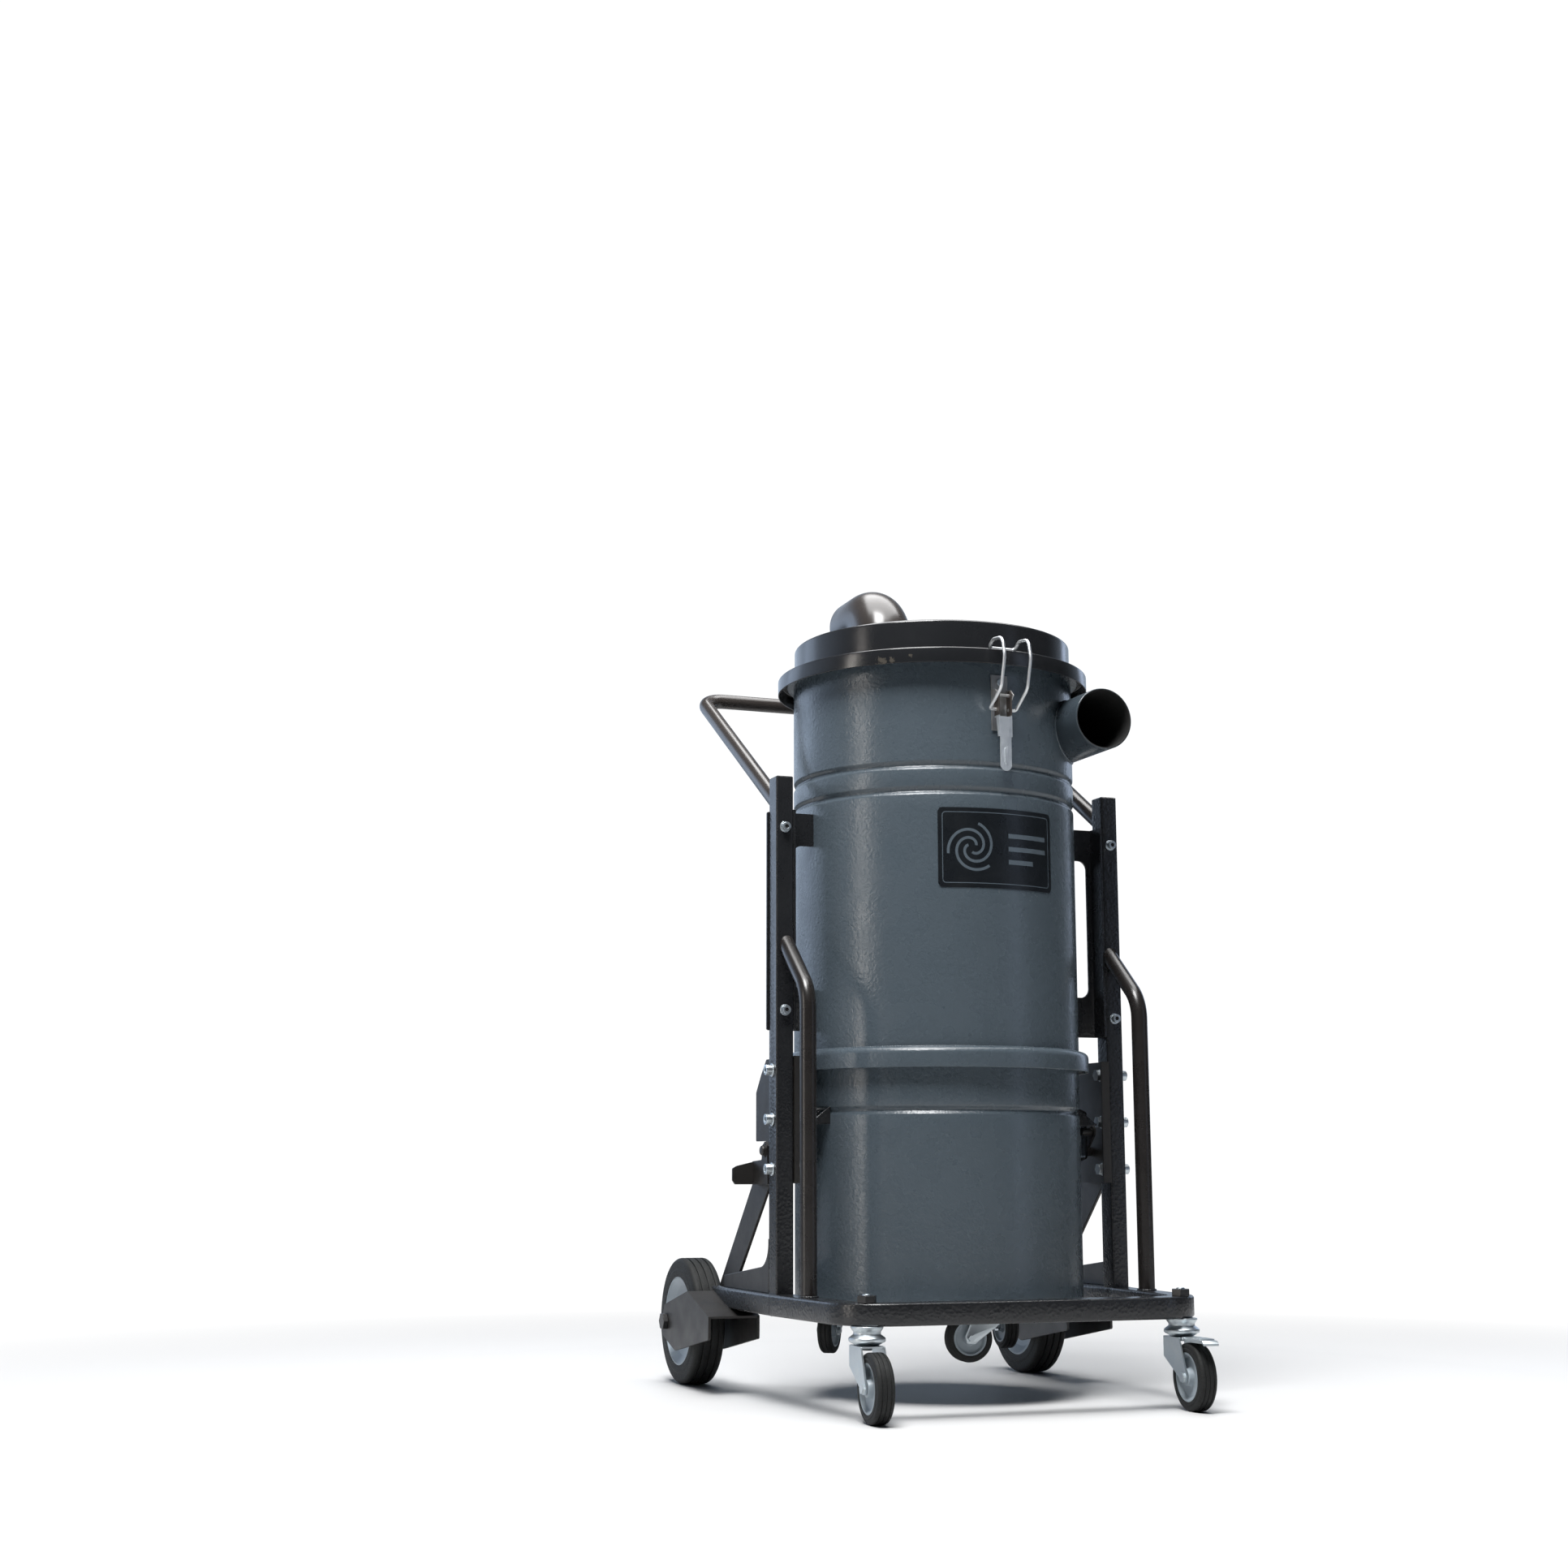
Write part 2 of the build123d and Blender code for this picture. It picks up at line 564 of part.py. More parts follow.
def build_bolts():
    with BuildPart() as side_bolts:
        for side in SIDES.values():
            for z in SIDE_BOLT_Z:
                def at(x):
                    return x_plane(side, x, SIDE_BOLT_Y, z)
                extrude(disc(at(254), SIDE_BOLT_R), amount=42, dir=(side, 0, 0))
                extrude(disc(at(296), 10), amount=2, dir=(side, 0, 0))
                extrude(disc(at(298), 8), amount=10, dir=(side, 0, 0))
                with BuildSketch(at(308)) as socket:
                    RegularPolygon(4.6, 6)
                extrude(socket.sketch, amount=5, dir=(-side, 0, 0), mode=Mode.SUBTRACT)
    write(side_bolts, "side_plate_bolts")

    with BuildPart() as side_nuts:
        for side in SIDES.values():
            for z in SIDE_BOLT_Z:
                with BuildSketch(x_plane(side, 254, SIDE_BOLT_Y, z)) as nut:
                    RegularPolygon(9.2, 6)
                    Circle(SIDE_BOLT_R, mode=Mode.SUBTRACT)
                extrude(nut.sketch, amount=8.5, dir=(side, 0, 0))
                washer = disc(x_plane(side, 262.5, SIDE_BOLT_Y, z), 10, SIDE_BOLT_R)
                extrude(washer, amount=1.5, dir=(side, 0, 0))
    write(side_nuts, "side_plate_nuts")

    front, rear = UPRIGHT_Y
    with BuildPart() as bracket_bolts:
        for side in SIDES.values():
            for z in BRACKET_BOLT_Z:
                def seat(y):
                    return Plane((side * BRACKET_BOLT_X, y, z), x_dir=(1, 0, 0), z_dir=(0, -1, 0))
                extrude(disc(seat(rear + 12), BRACKET_BOLT_R), amount=rear + 12 - front)
                extrude(disc(seat(front), 8.5), amount=1.6)
                extrude(disc(seat(front - 1.6), 6.5), amount=8)
                with BuildSketch(seat(front - 9.6)) as socket:
                    RegularPolygon(3.6, 6)
                extrude(socket.sketch, amount=-4, mode=Mode.SUBTRACT)
                with BuildSketch(seat(rear + 10.5)) as nut:
                    RegularPolygon(7.4, 6)
                extrude(nut.sketch, amount=6.5)
    write(bracket_bolts, "drum_bracket_bolts")


# ==== Bin and its lift ====================================================================
def build_bin():
    with BuildPart() as bin_shell:
        revolve(wall_section(BIN_R, BIN_FLOOR_Z, BIN_TOP_Z, BIN_GROOVES), axis=Axis.Z)
        revolve(ring_section(BIN_R - SHEET, RIM_R, BIN_TOP_Z - RIM_THICK, BIN_TOP_Z), axis=Axis.Z)
        extrude(disc(Plane.XY.offset(BIN_FLOOR_Z), BIN_R), amount=SHEET)
    write(bin_shell, "collection_bin")

    with BuildPart() as gasket:
        seal = ring_section(DRUM_R - 9, DRUM_R + 6, BIN_TOP_Z, BIN_TOP_Z + BIN_GASKET)
        revolve(seal, axis=Axis.Z)
    write(gasket, "bin_gasket")

    low_y, high_y = -44.0, -28.0
    wall_x = sqrt(BIN_R ** 2 - low_y ** 2)
    with BuildPart() as handles:
        for side in SIDES.values():
            plane = Plane((0, low_y, 0), x_dir=(side, 0, 0), z_dir=(0, -side, 0))
            hoop = outline(plane, ((wall_x - 8, 348), (243, 360), (243, 433), (wall_x - 8, 445)), 5)
            void = outline(plane, ((wall_x - 30, 350), (240, 362.5), (240, 430.5), (wall_x - 30, 443)), 3)
            extrude(hoop, amount=high_y - low_y, dir=(0, 1, 0))
            extrude(void, amount=high_y - low_y, dir=(0, 1, 0), mode=Mode.SUBTRACT)
        extrude(disc(Plane.XY.offset(340), BIN_R), amount=120, mode=Mode.SUBTRACT)
    write(handles, "bin_side_handles")

    pin_y = LIFT_PIVOT[0] - LIFT_CRANK * cos(radians(LIFT_CRANK_ANGLE))
    pin_z = LIFT_PIVOT[1] + LIFT_CRANK * sin(radians(LIFT_CRANK_ANGLE))
    shelf_z = pin_z + LIFT_PIN_R + 2.5
    with BuildPart() as lugs:
        for side in SIDES.values():
            plane = Plane((side * 225, 0, shelf_z), x_dir=(1, 0, 0), z_dir=(0, 0, 1))
            with BuildSketch(plane) as shelf:
                with Locations((0, pin_y - 11)):
                    Rectangle(36, 28)
            extrude(shelf.sketch, amount=4)
            for y in (pin_y - 25, pin_y - 1):
                rib = Plane((side * 225, y, shelf_z + 4), x_dir=(side, 0, 0), z_dir=(0, -side, 0))
                web = outline(rib, ((-18, 0), (16, 0), (-18, 26)))
                extrude(web, amount=4, dir=(0, 1, 0))
        extrude(disc(Plane.XY.offset(shelf_z - 5), BIN_R), amount=60, mode=Mode.SUBTRACT)
    write(lugs, "bin_lift_lugs")


def build_lift_lever(name, side):
    pivot_y, pivot_z = LIFT_PIVOT
    pin_y = pivot_y - LIFT_CRANK * cos(radians(LIFT_CRANK_ANGLE))
    pin_z = pivot_z + LIFT_CRANK * sin(radians(LIFT_CRANK_ANGLE))
    arm = ((pivot_y - 13, 320), (42, 320), (42, 355), (pivot_y + 14, 357), (pivot_y + 11, 378),
           (pivot_y, 385), (pivot_y - 11, 378))
    with BuildPart() as lever:
        extrude(outline(x_plane(side, 290), arm, 3), amount=4, dir=(side, 0, 0))
        tab_plane = Plane((0, 38, 0), x_dir=(side, 0, 0), z_dir=(0, -side, 0))
        tab = outline(tab_plane, ((290, 320), (323, 320), (327, 326), (327, 344), (320, 348), (290, 355)), 2)
        extrude(tab, amount=4, dir=(0, 1, 0))
        shaft = disc(x_plane(side, 246, pivot_y, pivot_z), LIFT_SHAFT_R)
        extrude(shaft, amount=44, dir=(side, 0, 0))
        crank = x_plane(side, 246)
        with BuildSketch(crank) as web:
            with Locations((pivot_y, pivot_z)):
                Circle(12)
            with Locations((pin_y, pin_z)):
                Circle(9)
            make_hull()
        extrude(web.sketch, amount=4, dir=(side, 0, 0))
        pin = disc(x_plane(side, 228, pin_y, pin_z), LIFT_PIN_R)
        extrude(pin, amount=20, dir=(side, 0, 0))
        add(pivot_bolt(side))
    write(lever, f"{name}_lift_lever")


def pivot_bolt(side):
    """The domed screw and washer on the outer end of a lift lever's shaft."""
    seat = x_plane(side, 294, *LIFT_PIVOT)
    with BuildPart() as bolt:
        extrude(disc(seat, 9.5), amount=2, dir=(side, 0, 0))
        extrude(disc(seat, 7.5), amount=7, dir=(side, 0, 0))
        rim = bolt.edges().filter_by(GeomType.CIRCLE).sort_by(Axis.X)[-1 if side > 0 else 0]
        fillet(rim, 3.5)
    return bolt.part


# ==== Wheels and casters ==================================================================
def wheel_plane(centre, across):
    """A plane through a wheel's centre: its first axis is the axle, its second points up."""
    return Plane(centre, x_dir=across, z_dir=across.cross(Vector(0, 0, 1)))


def turned(plane, half_section):
    """Turn a half section, drawn as axle distance against radius, about the axle."""
    return revolve(outline(plane, half_section), axis=Axis(plane.origin, plane.x_dir))


def tyre_section(radius, inner, width, grooves):
    """Half section of a solid tyre with rounded shoulders and square tread grooves."""
    half = width / 2
    points = [(-half, inner), (-half, radius - 6), (-half + 2, radius - 2), (-half + 6, radius)]
    for x in grooves:
        points += [(x - 1.2, radius), (x - 1.2, radius - 2), (x + 1.2, radius - 2), (x + 1.2, radius)]
    points += [(half - 6, radius), (half - 2, radius - 2), (half, radius - 6), (half, inner)]
    return points


def rim_section(rim_r, hub_r, bore_r, width, hub_width):
    """Half section of a rim: outer band, conical disc and hub."""
    half, hub = width / 2 - 2, hub_width / 2
    return [(-half, rim_r), (-half, rim_r - 4), (-half + 3, rim_r - 5), (-6, hub_r + 5), (-hub, hub_r),
            (-hub, bore_r), (hub, bore_r), (hub, hub_r), (6, hub_r + 5), (half - 3, rim_r - 5),
            (half, rim_r - 4), (half, rim_r)]


def build_rear_wheel(name, side):
    centre = Vector(side * REAR_WHEEL_X, REAR_WHEEL_Y, REAR_WHEEL_R)
    plane = wheel_plane(centre, Vector(1, 0, 0))
    rim_r = 70.0
    with BuildPart() as rim:
        turned(plane, rim_section(rim_r, 22, AXLE_R + PIN_CLEARANCE, REAR_WHEEL_WIDTH, 62))
    write(rim, f"{name}_rear_rim")
    with BuildPart() as tyre:
        turned(plane, tyre_section(REAR_WHEEL_R, rim_r, REAR_WHEEL_WIDTH, (-11, 0, 11)))
    write(tyre, f"{name}_rear_tyre")


def build_rear_axles():
    near, far = BRACKET_X
    with BuildPart() as axles:
        for side in SIDES.values():
            def at(x):
                return x_plane(side, x, REAR_WHEEL_Y, REAR_WHEEL_R)
            extrude(disc(at(near - 10), AXLE_R), amount=far - near + 12, dir=(side, 0, 0))
            with BuildSketch(at(far)) as head:
                RegularPolygon(13.8, 6)
            extrude(head.sketch, amount=8, dir=(side, 0, 0))
            with BuildSketch(at(near - 8)) as nut:
                RegularPolygon(13.8, 6)
            extrude(nut.sketch, amount=8, dir=(side, 0, 0))
    write(axles, "rear_axles")


def build_caster_fork(name, stem, top_z, heading, wheel_r, width, trail, plate, pin_r):
    """A swivelling fork: bridge, two swept cheeks and the axle bolt between them."""
    lead = radial(heading)
    across = tangent(heading)
    axle = Vector(*stem, 0) + lead * trail + Vector(0, 0, top_z)
    side = radius_height_plane(heading, (*stem, 0))
    gap = width / 2 + 2
    shoulder = wheel_r * 0.52
    bridge_z = top_z + wheel_r + 4
    with BuildPart() as fork:
        cheek = ((-shoulder, bridge_z + plate), (shoulder, bridge_z + plate),
                 (trail + 9, top_z + 3), (trail + 6, top_z - 7), (trail - 6, top_z - 8),
                 (trail - 12, top_z - 3), (-shoulder, bridge_z - 0.55 * wheel_r))
        for sign in (-1, 1):
            face = outline(side, cheek, 2).moved(Location(across * (sign * gap)))
            extrude(face, amount=plate, dir=across * sign)
        bridge = ((-shoulder + 1, bridge_z), (shoulder - 1, bridge_z),
                  (shoulder - 1, bridge_z + plate), (-shoulder + 1, bridge_z + plate))
        extrude(outline(side, bridge), amount=gap, both=True)
        extrude(disc(Plane((*stem, bridge_z - 1)), pin_r + PIN_CLEARANCE), amount=plate + 2, mode=Mode.SUBTRACT)
        axle_plane = Plane(axle, x_dir=lead, z_dir=across)
        extrude(disc(axle_plane, wheel_r * 0.085), amount=gap + plate, both=True)
        for sign in (-1, 1):
            head = Plane(axle + across * (sign * (gap + plate)), x_dir=lead, z_dir=across * sign)
            with BuildSketch(head) as nut:
                RegularPolygon(wheel_r * 0.15, 6)
            extrude(nut.sketch, amount=4)
    write(fork, name)
    return axle, across, bridge_z + plate


def build_caster_head(stem, fork_top, seat_z, cup_r, pin_r, stem_top, bridge):
    """The fixed half of a caster: bearing cup, king pin through the fork and the threaded stem."""
    low = fork_top + 0.5
    rise = seat_z - low
    with BuildPart() as head:
        cup = ((0, low), (cup_r * 0.62, low), (cup_r, low + 0.14 * rise), (cup_r, low + 0.26 * rise),
               (cup_r * 0.72, seat_z - 0.1 * rise), (cup_r * 0.86, seat_z - 0.1 * rise),
               (cup_r * 0.86, seat_z), (0, seat_z))
        revolve(outline(Plane((*stem, 0), x_dir=(1, 0, 0), z_dir=(0, -1, 0)), cup), axis=Axis((*stem, 0), (0, 0, 1)))
        extrude(disc(Plane((*stem, bridge - 3.5)), pin_r), amount=fork_top - bridge + 6)
        extrude(disc(Plane((*stem, bridge - 3.5)), pin_r + 2.5), amount=3)
        extrude(disc(Plane((*stem, seat_z - 0.5)), 6), amount=stem_top - seat_z + 0.5)
    return head.part


def build_caster_wheel(name, axle, across, radius, width):
    """A caster wheel: rubber tyre band pressed on a rim with a hub."""
    plane = wheel_plane(axle, across)
    rim_r = radius * 0.72
    with BuildPart() as wheel:
        turned(plane, rim_section(rim_r, radius * 0.22, radius * 0.085 + PIN_CLEARANCE, width, width + 2))
        turned(plane, tyre_section(radius, rim_r, width, (-width / 6, width / 6)))
    write(wheel, name)


def build_front_casters():
    heads = []
    plate, pin_r = 2.5, 5.0
    for name, side in SIDES.items():
        stem = (side * FRONT_STEM[0], FRONT_STEM[1])
        axle, across, fork_top = build_caster_fork(
            f"{name}_front_caster_fork", stem, FRONT_WHEEL_R, FRONT_HEADING, FRONT_WHEEL_R,
            FRONT_WHEEL_WIDTH, FRONT_TRAIL, plate, pin_r)
        build_caster_wheel(f"{name}_front_caster_wheel", axle, across, FRONT_WHEEL_R, FRONT_WHEEL_WIDTH)
        heads.append(build_caster_head(stem, fork_top, RAIL_Z[0], 26, pin_r, 172, fork_top - plate))
    with BuildPart() as front_heads:
        add(heads)
    write(front_heads, "front_caster_heads")

    with BuildPart() as nuts:
        for side in SIDES.values():
            with BuildSketch(Plane((side * FRONT_STEM[0], FRONT_STEM[1], RAIL_Z[1]))) as nut:
                RegularPolygon(14.5, 6)
                Circle(6, mode=Mode.SUBTRACT)
            extrude(nut.sketch, amount=10)
        fillet(nuts.edges().group_by(Axis.Z)[-1].filter_by(GeomType.LINE), 1)
    write(nuts, "front_caster_nuts")


def build_brake_pedal():
    """The brake pedal hooked on the right front fork, its tip level with the rear tyres' reach."""
    stem = (FRONT_STEM[0], FRONT_STEM[1])
    lead, across = radial(FRONT_HEADING), tangent(FRONT_HEADING)
    side = radius_height_plane(FRONT_HEADING, (*stem, 0))
    half = 12.0
    reach = (REAR_WHEEL_Y + REAR_WHEEL_R + stem[1] - half * abs(across.Y)) / -lead.Y
    hinge = (FRONT_TRAIL - 6, 101.0)
    shape = ((hinge[0] - 4, hinge[1] - 3), (hinge[0] + 4, hinge[1] - 4), (reach - 4, hinge[1] - 3),
             (reach, hinge[1] - 6), (reach, hinge[1] - 3), (reach - 5, hinge[1] + 1),
             (hinge[0], hinge[1] + 3))
    with BuildPart() as pedal:
        extrude(outline(side, shape), amount=half, both=True)
        for step in range(6):
            x = hinge[0] + 20 + step * 5
            rib = ((x, hinge[1] - 1), (x + 2.4, hinge[1] - 1), (x + 2.4, hinge[1] + 3), (x, hinge[1] + 3))
            extrude(outline(side, rib), amount=half, both=True)
        pin = Plane(Vector(*stem, hinge[1]) + lead * hinge[0], x_dir=lead, z_dir=across)
        extrude(disc(pin, 2.5), amount=FRONT_WHEEL_WIDTH / 2 + 1.5, both=True)
    write(pedal, "brake_pedal")


def build_bin_casters():
    axle_z = BIN_WHEEL_BOTTOM_Z + BIN_WHEEL_R
    heads = []
    plate, pin_r = 2.0, 4.0
    for name, (angle, heading) in BIN_CASTERS.items():
        stem = tuple(radial(angle) * BIN_STEM_R)[:2]
        axle, across, fork_top = build_caster_fork(
            f"{name}_bin_caster_fork", stem, axle_z, heading, BIN_WHEEL_R,
            BIN_WHEEL_WIDTH, BIN_TRAIL, plate, pin_r)
        build_caster_wheel(f"{name}_bin_caster_wheel", axle, across, BIN_WHEEL_R, BIN_WHEEL_WIDTH)
        heads.append(build_caster_head(stem, fork_top, BIN_FLOOR_Z, 19, pin_r, BIN_FLOOR_Z, fork_top - plate))
    with BuildPart() as bin_heads:
        add(heads)
    write(bin_heads, "bin_caster_heads")


def main():
    os.makedirs("parts", exist_ok=True)
    build_drum()
    build_cyclone_and_filter()
    build_lid()
    for name, angle in LATCH_ANGLES.items():
        build_latch(name, angle)
    build_latch_screws()
    build_base_frame()
    for name, side in SIDES.items():
        build_wheel_bracket(name, side)
        build_upright(name, side)
        build_guard_rod(name, side)
        build_drum_bracket(name, side)
        build_side_plate(name, side)
        build_lift_lever(name, side)
        build_rear_wheel(name, side)
    build_gussets()
    build_braces()
    build_push_handle()
    build_bolts()
    build_bin()
    build_rear_axles()
    build_front_casters()
    build_brake_pedal()
    build_bin_casters()


if __name__ == "__main__":
    main()
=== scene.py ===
"""Wheeled dust collector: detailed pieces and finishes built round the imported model.

Every length in the classes is in millimetres; meshes are written in metres.  X runs across
the trolley, +Y points at the push handle and +Z is up, with the origin on the floor.
"""
import logging
import math
from dataclasses import dataclass, field
from enum import Enum
from typing import Sequence

import bmesh
import bpy
import numpy as np
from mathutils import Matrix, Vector


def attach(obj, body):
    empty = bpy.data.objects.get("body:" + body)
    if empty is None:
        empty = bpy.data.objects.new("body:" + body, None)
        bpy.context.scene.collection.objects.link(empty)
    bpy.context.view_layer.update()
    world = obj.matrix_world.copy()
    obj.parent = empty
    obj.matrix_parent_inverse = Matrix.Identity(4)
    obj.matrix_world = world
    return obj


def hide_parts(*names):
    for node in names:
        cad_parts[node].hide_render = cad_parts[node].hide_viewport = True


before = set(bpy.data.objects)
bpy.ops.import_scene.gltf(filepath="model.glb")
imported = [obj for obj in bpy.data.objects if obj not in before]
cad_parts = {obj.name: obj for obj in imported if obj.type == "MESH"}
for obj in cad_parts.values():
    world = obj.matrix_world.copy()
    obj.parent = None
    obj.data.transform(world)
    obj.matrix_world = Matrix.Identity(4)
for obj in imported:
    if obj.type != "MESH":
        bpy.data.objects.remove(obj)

LOG = logging.getLogger("dust_collector")
MM = 0.001
FOLD_DEG = 38.0
EDGE_DEG = 30.0
FLAT = math.radians(0.6)
MERGE = 1e-6
UP = np.array([0.0, 0.0, 1.0])
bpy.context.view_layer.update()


class Side(Enum):
    """The two sides of the trolley, as the sign of X."""

    LEFT = -1
    RIGHT = 1


Tone = bpy.types.NodeSocket | tuple[float, float, float, float]


# ---- Numbers and node helpers ------------------------------------------------------------
def srgb(code: str) -> tuple[float, float, float, float]:
    """Turn an sRGB hex colour into linear RGBA.

    Args:
        code: six hex digits with a leading hash.
    Returns:
        Linear red, green, blue and an alpha of one.
    """
    raw = np.array([int(code[i:i + 2], 16) for i in (1, 3, 5)]) / 255.0
    linear = np.where(raw <= 0.04045, raw / 12.92, ((raw + 0.055) / 1.055) ** 2.4)
    return (*linear.tolist(), 1.0)


def per_metre(size_mm: float) -> float:
    """Pattern scale, in repeats a metre, of a pattern whose repeat is size_mm."""
    return 1000.0 / size_mm


def add_node(tree: bpy.types.NodeTree, kind: str, inputs: dict | None = None,
             **settings) -> bpy.types.Node:
    """Add one node, set its settings and fill or link its inputs.

    Args:
        tree: the material's or world's node tree.
        kind: the node's type name.
        inputs: values or output sockets by input name or number.
        settings: attributes set on the node itself.
    Returns:
        The new node.
    """
    new = tree.nodes.new(kind)
    for name, value in settings.items():
        setattr(new, name, value)
    for key, value in (inputs or {}).items():
        if isinstance(value, bpy.types.NodeSocket):
            tree.links.new(value, new.inputs[key])
        else:
            new.inputs[key].default_value = value
    return new


def mapped(tree: bpy.types.NodeTree, value: bpy.types.NodeSocket, low: float, high: float,
           to_low: float, to_high: float) -> bpy.types.NodeSocket:
    """The value's stretch from low to high carried to the stretch to_low to to_high, clamped."""
    numbers = {"Value": value, "From Min": low, "From Max": high,
               "To Min": to_low, "To Max": to_high}
    return add_node(tree, "ShaderNodeMapRange", numbers, clamp=True).outputs["Result"]


def blended(tree: bpy.types.NodeTree, factor: bpy.types.NodeSocket | float, first: Tone,
            second: Tone) -> bpy.types.NodeSocket:
    """Two colours blended by a factor: the Mix node's sockets 6, 7 and 2 are its colour ones."""
    return add_node(tree, "ShaderNodeMix", {0: factor, 6: first, 7: second}, data_type="RGBA").outputs[2]


def piece_place(tree: bpy.types.NodeTree) -> bpy.types.NodeSocket:
    """The shaded point on the piece's own coordinates, in metres."""
    return add_node(tree, "ShaderNodeTexCoord").outputs["Object"]


def grain(tree: bpy.types.NodeTree, size_mm: float, detail: float = 2.0, rough: float = 0.5,
          distort: float = 0.0, stretch: tuple[float, float, float] = (1, 1, 1)) -> bpy.types.NodeSocket:
    """Cloudy noise on the piece's own coordinates.

    Args:
        tree: the material's node tree.
        size_mm: how wide its lumps are, in millimetres.
        detail: octaves of finer noise on top.
        rough: how strong each octave is beside the one before.
        distort: how far the lumps are dragged about.
        stretch: scale along X, Y and Z; below one draws the lumps out.
    Returns:
        The noise from 0 to 1.
    """
    spread = add_node(tree, "ShaderNodeMapping", {"Vector": piece_place(tree), "Scale": stretch})
    noise = add_node(tree, "ShaderNodeTexNoise", {
        "Vector": spread.outputs["Vector"], "Scale": per_metre(size_mm), "Detail": detail,
        "Roughness": rough, "Distortion": distort})
    return noise.outputs["Fac"]


def cells(tree: bpy.types.NodeTree, size_mm: float) -> bpy.types.NodeSocket:
    """Distance to the nearest of many scattered points about size_mm apart."""
    settings = {"Vector": piece_place(tree), "Scale": per_metre(size_mm)}
    return add_node(tree, "ShaderNodeTexVoronoi", settings, feature="F1").outputs["Distance"]


def surface(name: str) -> tuple[bpy.types.Material, bpy.types.NodeTree, bpy.types.Node]:
    """Make a material.

    Args:
        name: what it is called.
    Returns:
        The material, its node tree and its shader.
    """
    material = bpy.data.materials.new(name)
    material.use_nodes = True
    tree = material.node_tree
    return material, tree, tree.nodes["Principled BSDF"]


def wire_shader(tree: bpy.types.NodeTree, shader: bpy.types.Node, colour: bpy.types.NodeSocket,
                rough: bpy.types.NodeSocket, bump: bpy.types.Node, **numbers: float) -> None:
    """Feed a shader its colour, roughness and bump, and set its plain numbers.

    Args:
        tree: the material's node tree.
        shader: its shader.
        colour: the base colour.
        rough: the roughness.
        bump: the last bump node.
        numbers: other inputs by name, with underscores for spaces.
    """
    for name, socket in (("Base Color", colour), ("Roughness", rough),
                         ("Normal", bump.outputs["Normal"])):
        tree.links.new(socket, shader.inputs[name])
    for name, number in numbers.items():
        shader.inputs[name.replace("_", " ")].default_value = number


# ---- Finishes ----------------------------------------------------------------------------
@dataclass(frozen=True)
class PowderCoat:
    """Sprayed and baked polyester powder: a glossy film that levels into orange peel.

    The peel breaks highlights into a fine ripple, and a hammer powder adds deep, tight cells.
    """

    name: str
    slot: str
    tone: str
    tone_drift: str
    roughness: float = 0.32
    peel_mm: float = 4.5
    peel_depth_mm: float = 0.10
    hammer_mm: float = 0.0
    hammer_depth_mm: float = 0.0
    scuffs: tuple[tuple[float, float, float, float], ...] = ()
    # Axis X, axis Z and radius of a bore whose inside is painted dark as shade.
    bore: tuple[float, float, float] | None = None
    drift_mm: float = 140.0
    handling_mm: float = 38.0
    ragged: float = 0.8

    def build(self) -> bpy.types.Material:
        """Film colour with slow drift, then knocks and painted shade in the bore, over peel and hammer bump.

        Returns:
            The new material.
        """
        material, tree, shader = surface(self.name)
        drift = grain(tree, self.drift_mm, 3.0)
        colour = blended(tree, drift, srgb(self.tone), srgb(self.tone_drift))
        rough = mapped(tree, grain(tree, self.handling_mm, 4.0), 0.3, 0.7,
                       self.roughness * 0.85, self.roughness * 1.18)
        for scuff in self.scuffs:
            colour = self.chip(tree, colour, scuff)
        # Inside the bore the film is painted near-black and matt: painted shade.
        if self.bore:
            inside = self.painted_bore_shade(tree)
            colour = blended(tree, inside, colour, srgb("#050505"))
            rough = blended(tree, inside, rough, (0.85, 0.85, 0.85, 1.0))
        bump = add_node(tree, "ShaderNodeBump", {
            "Height": grain(tree, self.peel_mm, 1.5, 0.45, 0.6), "Distance": self.peel_depth_mm * MM})
        if self.hammer_mm:
            bump = add_node(tree, "ShaderNodeBump", {
                "Height": cells(tree, self.hammer_mm), "Distance": self.hammer_depth_mm * MM,
                "Normal": bump.outputs["Normal"]})
        wire_shader(tree, shader, colour, rough, bump, IOR=1.5)
        return material

    def chip(self, tree: bpy.types.NodeTree, colour: bpy.types.NodeSocket,
             scuff: tuple[float, float, float, float]) -> bpy.types.NodeSocket:
        """Show dull undercoat where a distance plus noise falls under a scuff's size.

        Args:
            tree: the material's node tree.
            colour: the film's colour.
            scuff: angle in degrees, radius, height and size of the knock.
        Returns:
            The colour with the knock in it.
        """
        angle, radius, height, size = scuff
        middle = (*(radial(angle)[:2] * radius * MM).tolist(), height * MM)
        knock = add_node(tree, "ShaderNodeVectorMath", {0: piece_place(tree), 1: middle},
                         operation="DISTANCE")
        edge = self.ragged * size * MM
        ragged = mapped(tree, grain(tree, 7.0, 4.0, 0.7, 1.0), 0.3, 0.7, -edge, edge)
        reach = add_node(tree, "ShaderNodeMath", {0: knock.outputs["Value"], 1: ragged},
                         operation="ADD").outputs["Value"]
        chipped = mapped(tree, reach, size * MM * 0.60, size * MM * 0.66, 1.0, 0.0)
        return blended(tree, chipped, colour, srgb("#4c4842"))

    def painted_bore_shade(self, tree: bpy.types.NodeTree) -> bpy.types.NodeSocket:
        """One inside a bore along Y, from the distance to its axis, and zero outside.

        Args:
            tree: the material's node tree.
        Returns:
            The share of painted shade.
        """
        middle_x, middle_z, radius = self.bore
        across = add_node(tree, "ShaderNodeVectorMath", {
            0: piece_place(tree), 1: (1, 0, 1), 2: (-middle_x * MM, 0, -middle_z * MM)},
            operation="MULTIPLY_ADD").outputs["Vector"]
        off_axis = add_node(tree, "ShaderNodeVectorMath", {0: across},
                            operation="LENGTH").outputs["Value"]
        return mapped(tree, off_axis, radius * MM, (radius + 0.3) * MM, 1.0, 0.0)


